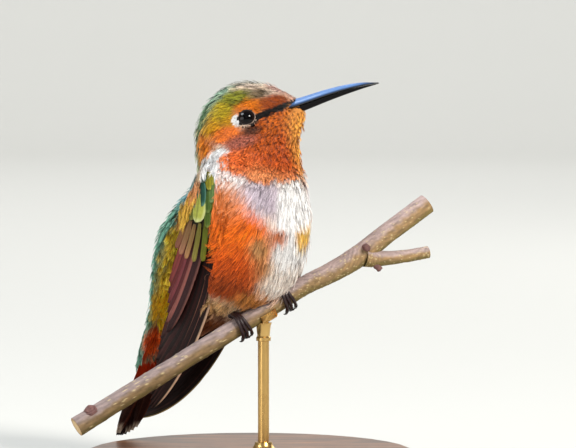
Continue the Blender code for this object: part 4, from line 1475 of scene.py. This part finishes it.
def covert_pad(side):
    """The arm and hand that the small coverts lie on, tinted dark as painted shade in the gaps between
    them.
    """
    rows, columns = 22, 12
    points = []
    for i in range(rows):
        u = i / (rows - 1)
        half = 4.1 * sqrt(max(0.06, 1 - (2 * u - 1) ** 4))
        along = -0.03 + 0.23 * u
        sink = -0.25 * ease(0.5, 1.0, u)
        for v in np.linspace(-1, 1, columns):
            points.append(wing_point(side, along, v * half - 0.2, -0.05 - 0.25 * v**4 + sink))
        for v in np.linspace(1, -1, columns):
            points.append(wing_point(side, along, v * half - 0.2, -0.75))
    mesh = round_mesh("pad", points, rows, 2 * columns)
    # painted shade: the pad is dark where it shows between the coverts
    tint(mesh, rgb(40, 34, 20))
    mesh.uv_layers.new(name="Vane")
    return mesh


def wing_coverts(side, label):
    place = partial(wing_point, side)
    pieces = [covert_pad(side)]
    for root, tip, half, out, near, far in LARGE_COVERTS:
        near, far = near * 0.5, far * 0.66
        look = (mixed(near, far, 0.4), far * 1.25, near * 0.3, far * 0.6, far, 0.62, 0.86)
        build = {"rows": 36, "columns": 11, "thick": 0.14, "shape": blunt_vane}
        pieces.append(plume(place, root, tip, half, 0, out - 0.12, look, **build))
    for root, tip, half, out, body, edge in SMALL_COVERTS:
        body, edge = body * 0.5, mixed(body, edge, 0.6) * 0.72
        look = (body, edge, mixed(body, edge, 0.5), body * 0.5, edge, 0.22, 0.74)
        build = {"rows": 24, "columns": 11, "thick": 0.10, "shape": round_vane}
        pieces.append(plume(place, root, tip, half, 0, out, look, **build))
    return vanes(f"wing_{label}_coverts", pieces, "green_coverts")


def tail():
    """Ten tail feathers: a green pair in the middle, the others rufous at the base and dark
    beyond, the outer ones tipped white."""
    place = tail_frame()
    pieces = []
    for order in range(RECTRICES - 1, -1, -1):
        for side in SIDES.values():
            fan = radians(TAIL_FAN * (order + 0.35)) * side
            start = (0.1 + 0.18 * order) * side
            length = (TAIL_LENGTH + 0.7) * RECTRIX_LENGTHS[order]
            rise = 0.22 * order + 0.05 * (side > 0)

            def at(along, across, out, fan=fan, start=start, rise=rise):
                x = along * cos(fan) - across * sin(fan)
                y = start + along * sin(fan) + across * cos(fan)
                return tail_point(place, x, y, rise - out)

            white = order >= RECTRICES - WHITE_TIPPED
            tone, edge = rgb(46, 18, 14), rgb(120, 62, 44)
            rear = tone * 0.7
            if order == 0:
                tone, edge, rear = rgb(70, 108, 88), rgb(120, 158, 140), rgb(120, 158, 140)
            end, reach = (rgb(222, 206, 186), 0.06) if white else (rgb(26, 11, 10), 0.3)
            look = (tone, edge, rear, rgb(80, 46, 36), end, reach, 0.84)
            build = {"rows": 56, "columns": 15, "shape": tail_vane}
            mesh = plume(at, (0, 0), (length, 0), RECTRIX_WIDTH / 2, 0, 0, look, **build)
            rufous_base(mesh, order)
            pieces.append(mesh)
    return vanes("tail", pieces, "flight_feathers")


def tail_vane(u, half_width):
    return vane(u, half_width, blunt=0.3)


def rufous_base(mesh, order):
    """The upper half of every tail feather but the middle pair is rufous."""
    layer = mesh.color_attributes["Tint"]
    colours = numbers(layer.data, "color", 4, np.float32)
    down = local(tail_frame(), mesh_points(mesh))[:, 0] / TAIL_LENGTH
    share = (1 - ease(0.50, 0.62, down)) * (0.95 if order else 0.0)
    colours[:, :3] = mixed(colours[:, :3], rgb(186, 50, 12), share)
    layer.data.foreach_set("color", colours.ravel())


def bridge(side):
    """A strip, never shown, on which feathers lie across the slit before the wing."""
    alongs, acrosses = np.linspace(-0.035, 0.13, 12), np.linspace(3.6, 6.2, 7)
    points = [wing_point(side, along, across, -0.3) for along in alongs for across in acrosses]
    return triangle_mesh("bridge", points, grid_triangles(len(alongs), len(acrosses)))


ROW_STRAY, COLUMN_STRAY = 0.003, 0.12


def shoulder_row(side, along, across, slope, out=0.05):
    """A root on the folded wing, the way out from it and the way its feather lies."""
    point = wing_point(side, along, across, out)
    ahead = wing_point(side, along + 0.02, across + slope, out)
    higher = wing_point(side, along, across, out + 1)
    return point, (higher - point).normalized(), (ahead - point).normalized()


def strewn(rows, columns, along, across):
    """Row, column and uneven place on the wing of each root in a grid of them. along and
    across are each a first number and a step."""
    for i in range(rows):
        for j in range(columns):
            down = along[0] + along[1] * i + RANDOM.uniform(-ROW_STRAY, ROW_STRAY)
            aside = across[0] + across[1] * j + RANDOM.uniform(-COLUMN_STRAY, COLUMN_STRAY)
            yield i, j, down, aside


def shoulder_hairs(side):
    """Hair-like feathers over the wing's trailing side."""
    rows, columns = 42, 20
    for i, j, along, across in strewn(rows, columns, (-0.06, 0.0058), (0.2, -0.30)):
        low_end = 0.07 + 0.11 * ease(0.9, 4.0, -across)
        if along > low_end or (across > -0.6 and along > 0.02):
            continue
        border = -1.3 - 4.9 * ease(-0.05, 0.09, along)
        green = ease(-0.5, 0.9, border - across + RANDOM.normal(0, 0.4))
        low = ease(14, 24, i + RANDOM.normal(0, 3))
        pale = (1 - ease(0, 12, i + RANDOM.normal(0, 3))) * (1 - ease(3, 8, j)) * 0.8
        warm = mixed(rgb(216, 140, 84), rgb(226, 174, 62), low)
        warm = mixed(warm, rgb(226, 200, 160), pale)
        colour = mixed(warm, rgb(120, 160, 156), green)
        place = (0.1 + 0.8 * i / rows, 0.1 + 0.4 * j / columns)
        yield shoulder_row(side, along, across, -0.12), colour, place


def wrist_feathers(side):
    """White and buff feathers of the neck over the wing's wrist."""
    for i, j, along, across in strewn(14, 17, (-0.085, 0.0045), (-0.1, 0.27)):
        colour = mixed(rgb(232, 214, 196), WHITE, min(1, j / 5))
        place = (0.1 + 0.8 * i / 12, 0.55 + 0.25 * j / 17)
        yield shoulder_row(side, along, across, 0.05, 0.30), colour, place


def leading_feathers(side):
    """White feathers, then orange ones, along the wing's leading edge."""
    rows, columns = 40, 11
    for i, j, along, across in strewn(rows, columns, (-0.045, 0.0064), (3.7, 0.22)):
        warm = mixed(rgb(222, 122, 60), ORANGE, ease(0.05, 0.16, along))
        warm = mixed(WHITE, warm, ease(-0.02, 0.05, along + RANDOM.normal(0, 0.01)))
        colour = warm * RANDOM.uniform(0.6, 1.1)
        place = (0.1 + 0.8 * i / rows, 0.84 + 0.08 * j / columns)
        yield shoulder_row(side, along, across, -0.16 * ease(0.05, 0.14, along), -0.1), colour, place


def shoulder(side, label, tree):
    """The body's feathers that lie over the folded wing."""
    feathers = [*shoulder_hairs(side), *wrist_feathers(side), *leading_feathers(side)]
    rows, colours, places = zip(*feathers)
    roots, normals, flows = (np.array([tuple(row[k]) for row in rows]) for k in range(3))
    size = RANDOM.uniform(0.55, 0.95, len(rows))
    layout = (roots, normals, np.array(places), flows)
    mesh = feather_mesh("shoulder", *layout, "breast", tree, np.array(colours), size)
    slotted(f"coat_shoulder_{label}", mesh, FINISH["soft"], "green_plumage")


# ---- eyes and bill --------------------------------------------------------------------


def eye(side, label):
    """A dark glossy ball: black pupil, deep brown iris."""
    centre, axis, first, second = eye_frame(side)
    rows, around = 40, 64
    points, colours = [], []
    for i in range(rows):
        polar = pi * i / (rows - 1)
        bulge = 1 + 0.035 * np.exp(-((polar / 0.42) ** 2))
        for j in range(around):
            turn = 2 * pi * j / around
            ring = first * cos(turn) + second * sin(turn)
            points.append(centre + (axis * cos(polar) + ring * sin(polar)) * EYE_RADIUS * bulge * MM)
            iris = band(polar, (0.40, 0.50), (0.86, 0.98))
            colours.append(mixed(rgb(4, 3, 4), rgb(24, 13, 10), iris * (0.8 + 0.2 * sin(turn * 37))))
    mesh = round_mesh("eye", points, rows, around)
    tint(mesh, np.array(colours))
    slotted(f"eye_{label}_ball", mesh, FINISH["eye"], "eye", f"eye_{label}")


# painted reflection of the sky on the top of the black bill
BILL_SKY_REFLECTION = rgb(82, 118, 172)
BILL_BLACK = rgb(12, 11, 13)
BILL_BASE, BILL_REACH = 8.2, 17.3


def bill_half(upper):
    """One half of the shut bill, with its cutting edge, a groove along the side, and on the upper half
    a painted reflection of the sky along its top.
    """
    rows = smoothed(BILL_LINE, 10)
    sign = 1 if upper else -1
    arc, flat = 22, 6  # points round the horn, and across its cutting side
    points, colours = [], []
    for forward, up, radius in rows:
        share = (forward - BILL_BASE) / BILL_REACH
        edge = up - 0.2 * radius + sign * 0.015
        for i in range(arc):
            turn = pi * i / (arc - 1)
            keel = 1 + 0.10 * sin(turn) ** 8 * (1 - share)
            groove = 1 - 0.07 * np.exp(-(((turn - 0.5) / 0.16) ** 2))
            groove -= 0.07 * np.exp(-(((turn - pi + 0.5) / 0.16) ** 2))
            reach = radius * keel * (groove if share < 0.8 else 1)
            level = up + sign * reach * sin(turn)
            level = max(level, edge) if upper else min(level, edge)
            inset = 1.0 if upper else 0.93
            points.append(HEAD @ millimetres(forward, inset * radius * cos(turn), level))
            # painted reflection: the upper bill turns blue towards its top, as if it mirrored the sky,
            # and stays black at the tip
            painted_sky_reflection = ease(0.02, 0.55, sin(turn)) * (1 - ease(0.72, 1.0, share)) if upper else 0.0
            colours.append(mixed(BILL_BLACK, BILL_SKY_REFLECTION, painted_sky_reflection))
        for i in range(1, flat + 1):
            aside = radius * (-1 + 2 * i / (flat + 1))
            points.append(HEAD @ millimetres(forward, aside * 0.93, edge))
            colours.append(BILL_BLACK)
    around = arc + flat
    corners = grid_triangles(len(rows), around, wrap=True)
    tip = HEAD @ millimetres(rows[-1][0] + 0.12, 0, rows[-1][1] - 0.02)
    base = HEAD @ millimetres(rows[0][0] - 0.1, 0, rows[0][1] + 0.3 * sign)
    last = (len(rows) - 1) * around
    count = len(points)
    fans = [(count, last + i, last + (i + 1) % around) for i in range(around)]
    fans += [(count + 1, (i + 1) % around, i) for i in range(around)]
    points += [tip, base]
    colours += [BILL_BLACK] * 2
    mesh = facing_out(triangle_mesh("bill", points, np.concatenate([corners, fans])))
    tint(mesh, np.array(colours))
    name = "bill_upper" if upper else "bill_lower"
    slotted(name + "_horn", mesh, FINISH["bill" if upper else "low_bill"], "bill", name)


# ---- feet -----------------------------------------------------------------------------


ANKLE_RADII = (0.55, 0.8, 0.86, 0.8, 0.66, 0.56, 0.5, 0.47, 0.45, 0.45)
FOOT_BROWN = rgb(34, 16, 17)
TOE_STEPS, TOE_SCALES = 46, 11


def toe_meshes(along, aside, first, last):
    """A scaly toe round the twig and its curved claw."""
    hug = TWIG_RADIUS + TOE_RADIUS + 0.25
    turn = 1 if last > first else -1
    points, radii = [], []
    for i in range(TOE_STEPS):
        u = i / (TOE_STEPS - 1)
        ripple = abs(sin(pi * u * TOE_SCALES)) ** 0.6
        pad = 0.10 * sin(pi * u * 3) ** 2
        points.append(twig_ring(along, first + (last - first) * u, hug, aside * u))
        radii.append(TOE_RADIUS * (0.94 - 0.26 * u) * (0.88 + 0.12 * ripple + pad))
    around = 14
    scaly = tube_mesh("toe", points, radii, around)
    step = np.arange(len(scaly.vertices)) // around
    shade = 0.75 + 0.5 * (np.sin(step * pi * TOE_SCALES / (TOE_STEPS - 1)) ** 2)
    tint(scaly, FOOT_BROWN * shade[:, None])
    points, radii = [], []
    for i in range(22):
        u = i / 21
        lift = 0.75 * u**1.8
        points.append(twig_ring(along, last + turn * (4 + 62 * u), hug + lift, aside * (1 + 0.15 * u)))
        radii.append(CLAW_RADIUS * 1.2 * (1 - u) ** 0.75 + 0.02)
    claw = tube_mesh("claw", points, radii, around=12)
    tint(claw, rgb(22, 17, 18))
    return scaly, claw


def foot(side, label):
    """Three toes forward and one back round the twig, and the ankle over them."""
    along = FEET_ALONG[side]
    spread = [toe_meshes(along, aside * TOE_SPREAD, -34, 150 - 8 * abs(aside)) for aside in (-1, 0, 1)]
    spread.append(toe_meshes(along, 0.2, -20, -165))
    low, high = (twig_ring(along, ANKLE_TURN, TWIG_RADIUS + rise) for rise in (0.3, 2.3))
    ankle = tube_mesh("ankle", [low.lerp(high, i / 9) for i in range(10)], ANKLE_RADII, around=18)
    tint(ankle, FOOT_BROWN)
    name = f"foot_{label}_scaled"
    mesh = joined_mesh(name, [ankle] + [mesh for pair in spread for mesh in pair])
    slotted(name, mesh, FINISH["toe"], "feet", f"foot_{label}")


# ---- twig -----------------------------------------------------------------------------

BARK_TOP = rgb(142, 124, 120)
BARK_SIDE = rgb(126, 100, 66)
BARK_LOW = rgb(104, 88, 42)
LENTICEL = rgb(206, 188, 140)


def lenticel_spots(places, ahead, count, seed):
    """How far each point lies in one of the raised spots, from 0 to 1."""
    generator = np.random.default_rng(seed)
    spots = np.zeros(len(places))
    for _ in range(count):
        offset = (places - places[generator.integers(len(places))]) / MM
        lengthways = (offset * ahead).sum(1)
        across = np.linalg.norm(offset - lengthways[:, None] * ahead, axis=1)
        size = generator.uniform(0.04, 0.11)
        spot = np.exp(-((across / size) ** 2) - (lengthways / (size * 1.5)) ** 2)
        spots = np.maximum(spots, spot)
    return spots


def bark_mesh(name, points, radii, around, seed, lenticels):
    """A twig with wrinkled bark and raised lenticels, its upper side greyer, and painted light that
    brightens it towards its right end.
    """
    mesh = tube_mesh(name, points, radii, around, caps=False)
    places = mesh_points(mesh)
    rings = places.reshape(len(points), around, 3)
    axis = rings.mean(1, keepdims=True)
    normals = unit((rings - axis).reshape(-1, 3))
    run = unit(np.gradient(axis[:, 0], axis=0))
    ahead = np.repeat(run, around, axis=0)
    stretched = places - ahead * (places * ahead).sum(1, keepdims=True) * 0.72
    swell = 0.045 * wobble(places, 5.0, seed) + 0.03 * wobble(stretched, 1.1, seed + 1)
    swell += 0.018 * wobble(stretched, 0.45, seed + 2)
    spots = lenticel_spots(places, ahead, lenticels, seed + 5)
    swell += 0.05 * spots
    places += normals * swell[:, None] * MM
    move_points(mesh, places)
    level = normals[:, 2] + 0.18 * wobble(places, 3.0, seed + 3)
    colour = mixed(BARK_LOW, BARK_SIDE, ease(-0.7, -0.1, level))
    colour = mixed(colour, BARK_TOP, ease(0.0, 0.55, level))
    colour = colour * (1 + 0.30 * wobble(stretched, 0.8, seed + 4))[:, None]
    # painted light: the bark is painted lighter towards the right, where the key light falls
    colour = colour * (0.80 + 0.50 * ease(-0.02, 0.03, places[:, 0]))[:, None]
    colour = mixed(colour, LENTICEL, np.clip(spots * 1.1, 0, 0.7))
    tint(mesh, np.clip(colour, 0, 1))
    mesh.shade_smooth()
    return mesh


def cut_face(points, radius, at_start):
    """The sawn end of a twig: pale wood with rings, inside its bark."""
    end, before = (points[0], points[1]) if at_start else (points[-1], points[-2])
    run = np.array((end - before).normalized())
    first = unit(np.cross(run, (0, 0, 1.0)))
    second = np.cross(run, first)
    rows, around = 9, 48
    places, colours = [], []
    for i in range(rows):
        share = i / (rows - 1)
        for j in range(around):
            turn = 2 * pi * j / around
            rough = 0.02 * sin(turn * 9 + i) * share
            ring = (first * cos(turn) + second * sin(turn)) * share * radius * 0.99
            places.append(np.array(end) + (ring + run * (0.03 * (1 - share) + rough)) * MM)
            dark = 0.3 + 0.3 * sin(share * 19) if share < 0.86 else 1.0
            colours.append(mixed(rgb(206, 178, 132), rgb(164, 128, 84), dark))
    mesh = round_mesh("cut", places, rows, around)
    tint(mesh, np.array(colours))
    return mesh


def knob(root, tip, radii, seed):
    """A bud or a spur: a rough, tapered stub."""
    rows = 16
    line = [root.lerp(tip, i / (rows - 1)) for i in range(rows)]
    thick = np.interp(np.linspace(0, 1, rows), np.linspace(0, 1, len(radii)), radii)
    thick = thick * (1 + 0.08 * np.sin(np.arange(rows) * 1.9))
    mesh = tube_mesh("knob", line, thick, around=20)
    places = mesh_points(mesh)
    places += mesh_normals(mesh) * (0.10 * wobble(places, 1.2, seed))[:, None] * MM
    move_points(mesh, places)
    tint(mesh, rgb(104, 70, 66) * (1 + 0.3 * wobble(places, 0.9, seed + 1))[:, None])
    return mesh


def twigs():
    rows = smoothed(STEM, 44)
    points = [GRIP + TWIG_RUN * (along * MM) + millimetres(0, 0, up) for along, up, _ in rows]
    radii = [TWIG_RADIUS * scale for *_, scale in rows]
    stem = bark_mesh("stem", points, radii, around=84, seed=21, lenticels=520)
    ends = [cut_face(points, radii[0], True), cut_face(points, radii[-1], False)]
    bud = [twig_ring(-36.5, 20, height) for height in (1.2, 2.6)]
    knobs = [knob(*bud, (1.35, 1.25, 0.95, 0.5, 0.12), seed=31)]
    for number, row in enumerate(SPURS):
        root, tip = millimetres(*row[:3]), millimetres(*row[3:])
        knobs.append(knob(root, tip, (1.0, 0.85, 0.62, 0.5), seed=41 + number))
    mesh = joined_mesh("twig_stem_bark", [stem, *ends, *knobs])
    slotted("twig_stem_bark", mesh, FINISH["bark"], "bark", "perch_stem")
    rows = smoothed(SIDE_TWIG, 22)
    line = [millimetres(x, y, z) for x, y, z, _ in rows]
    radii = [radius for *_, radius in rows]
    side = bark_mesh("side", line, radii, around=60, seed=61, lenticels=110)
    mesh = joined_mesh("twig_side_bark", [side, cut_face(line, radii[-1], False)])
    slotted("twig_side_bark", mesh, FINISH["bark"], "bark", "perch_side_twig")


# ---- stand and studio -----------------------------------------------------------------


def finish_stand():
    for node, finish, slot in (("stand_base", walnut(), "walnut"), ("stand_rod", brass(), "brass")):
        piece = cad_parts[node]
        piece.data.materials.clear()
        piece.data.materials.append(finish)
    FINISH["brass"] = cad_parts["stand_rod"].data.materials[0]


def turned_rows(profile, around):
    """Rings about the vertical: the radius and height of each."""
    return [
        (radius * cos(2 * pi * j / around), radius * sin(2 * pi * j / around), height)
        for radius, height in profile
        for j in range(around)
    ]


def lathe(name, profile, centre):
    """A turned piece of brass, its profile in millimetres."""
    around = 64
    points = [centre + millimetres(*row) for row in turned_rows(profile, around)]
    mesh = round_mesh(name, points, len(profile), around)
    mesh.set_sharp_from_angle(angle=radians(40))
    slotted(name, mesh, FINISH["brass"], "brass")


# Radius and height of the collar's turned profile, then of the neck's: there the radius is
# beyond the rod's own for the first four.
COLLAR = (
    (0.9, 0.02),
    (3.1, 0.02),
    (3.1, 0.45),
    (2.9, 0.7),
    (2.2, 0.9),
    (1.7, 1.5),
    (1.5, 2.1),
    (1.05, 2.2),
)
NECK_LOW = ((0, -2.4), (0.3, -2.3), (0.3, -1.7), (0.1, -1.5))
NECK_HIGH = ((1.3, 0.4), (1.5, 0.9), (0.2, 1.0))


def stand_fittings():
    """A turned collar where the rod enters the base, and a neck and cradle at its top."""
    low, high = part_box("stand_rod")
    middle = (low + high) / 2
    foot_of_rod = Vector((middle.x, middle.y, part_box("stand_base")[1].z))
    lathe("stand_collar", COLLAR, foot_of_rod)
    rod_top = Vector((middle.x, middle.y, high.z))
    radius = (high.x - low.x) / 2 / MM
    low_part = [(radius + beyond, height) for beyond, height in NECK_LOW]
    lathe("stand_neck", [*low_part, *NECK_HIGH], rod_top)
    cradle(rod_top)


def cradle(rod_top):
    """A bent brass strip on the rod's end, in which the twig lies."""
    offset = (rod_top - GRIP) / MM
    middle = (offset.x * TWIG_RUN.x + offset.y * TWIG_RUN.y) / (TWIG_RUN.x**2 + TWIG_RUN.y**2)
    inner, outer, half = TWIG_RADIUS * 1.03 + 0.08, TWIG_RADIUS * 1.03 + 0.42, 1.6
    profile = ((-half, inner), (-half, outer), (half, outer), (half, inner))
    turns = np.linspace(98, 262, 40)
    points = [
        twig_ring(middle + along, turn, radius) for turn in turns for along, radius in profile
    ]
    corners = grid_triangles(len(turns), len(profile), wrap=True)
    last = len(points) - 4
    ends = [(0, 1, 2), (0, 2, 3), (last, last + 2, last + 1), (last, last + 3, last + 2)]
    mesh = triangle_mesh("cradle", points, np.concatenate([corners, ends]))
    facing_out(mesh, bevel=0.06).set_sharp_from_angle(angle=radians(40))
    slotted("stand_cradle", mesh, FINISH["brass"], "brass")


FLOOR_SINK = 0.00002  # metres that the floor lies below the base


def studio():
    """A pale floor that curves up into a wall on every side, far from the bird."""
    profile = [(0.1, 0.0), (0.4, 0.0), (1.2, 0.0), (1.7, 0.0)]
    profile += [(1.7 + 0.5 * sin(t), 0.5 * (1 - cos(t))) for t in np.linspace(0.15, pi / 2, 9)]
    profile += [(2.2, 0.9), (2.2, 1.5)]
    around = 96
    sunk = [(radius, height - FLOOR_SINK) for radius, height in profile]
    points = turned_rows(sunk, around)
    centre = [(len(points), j, (j + 1) % around) for j in range(around)]
    points.append((0, 0, -FLOOR_SINK))
    corners = np.concatenate([grid_triangles(len(profile), around, wrap=True)[:, ::-1], centre])
    mesh = triangle_mesh("studio_floor", points, corners)
    mesh.shade_smooth()
    paint = Finish("studio_paint", 0.85, Base_Color=(*rgb(198, 198, 194), 1))
    placed("studio_floor", mesh, paint.made, body=None)


def area_light(name, place, target, size, power, colour):
    light = bpy.data.lights.new(name, "AREA")
    light.shape = "DISK"
    light.size = size
    light.energy = power
    light.color = colour
    made = linked(name, light)
    made.location = place
    made.rotation_euler = (Vector(target) - Vector(place)).to_track_quat("-Z", "Y").to_euler()


VIEW_TARGET = Vector((0.0068, 0.0, 0.0446))
VIEW_DISTANCE = 0.65
VIEW_RISE = 3
VIEW_LENS = 227.5
LIT = (0, 0, 0.055)
# Each light's place, what it points at, its diameter and power, and its colour.
LIGHTS = (
    ("key", (0.42, -0.50, 0.50), LIT, 0.20, 7.4, (1.0, 0.965, 0.91)),
    ("fill", (-0.60, -0.50, 0.12), LIT, 0.5, 2.6, (1.0, 0.99, 0.97)),
    ("top", (-0.46, -0.20, 0.62), LIT, 0.28, 3.8, (0.86, 0.93, 1.0)),
    ("back", (0.5, 0.6, 0.4), LIT, 0.4, 1.6, (1.0, 0.98, 0.95)),
    ("backdrop", (0.0, 0.9, 1.5), (0.0, 2.0, 0.2), 1.2, 26.0, (1.0, 1.0, 1.0)),
)


def camera_and_lights():
    lens = bpy.data.cameras.new("camera")
    lens.lens = VIEW_LENS
    lens.sensor_width = 36
    lens.clip_start = 0.01
    lens.clip_end = 20
    camera = linked("camera", lens)
    rise = radians(VIEW_RISE)
    camera.location = VIEW_TARGET + Vector((0, -cos(rise), sin(rise))) * VIEW_DISTANCE
    camera.rotation_euler = (radians(90 - VIEW_RISE), 0, 0)
    bpy.context.scene.camera = camera
    for row in LIGHTS:
        area_light(*row)
    world = bpy.data.worlds.new("studio_air")
    bpy.context.scene.world = world
    world.use_nodes = True
    air = world.node_tree.nodes["Background"].inputs
    air["Color"].default_value = (0.97, 0.98, 1.0, 1)
    air["Strength"].default_value = 0.35
    bpy.context.scene.view_settings.view_transform = "Standard"


# ---- assembly -------------------------------------------------------------------------


def bird():
    body, plain = skin()
    wings = []
    for label, side in SIDES.items():
        wings += flight_feathers(side, label)
        wings.append(wing_coverts(side, label))
    rectrices = tail()
    bridges = [bridge(side) for side in SIDES.values()]
    tree = tree_of([plain, *wings, rectrices, *bridges])
    wing_tree = tree_of(wings)
    for label, side in SIDES.items():
        shoulder(side, label, tree)
        eye(side, label)
        foot(side, label)
    for upper in (True, False):
        bill_half(upper)
    coat(body, plain, tree, wing_tree)


camera_and_lights()
studio()
finish_stand()
stand_fittings()
twigs()
bird()
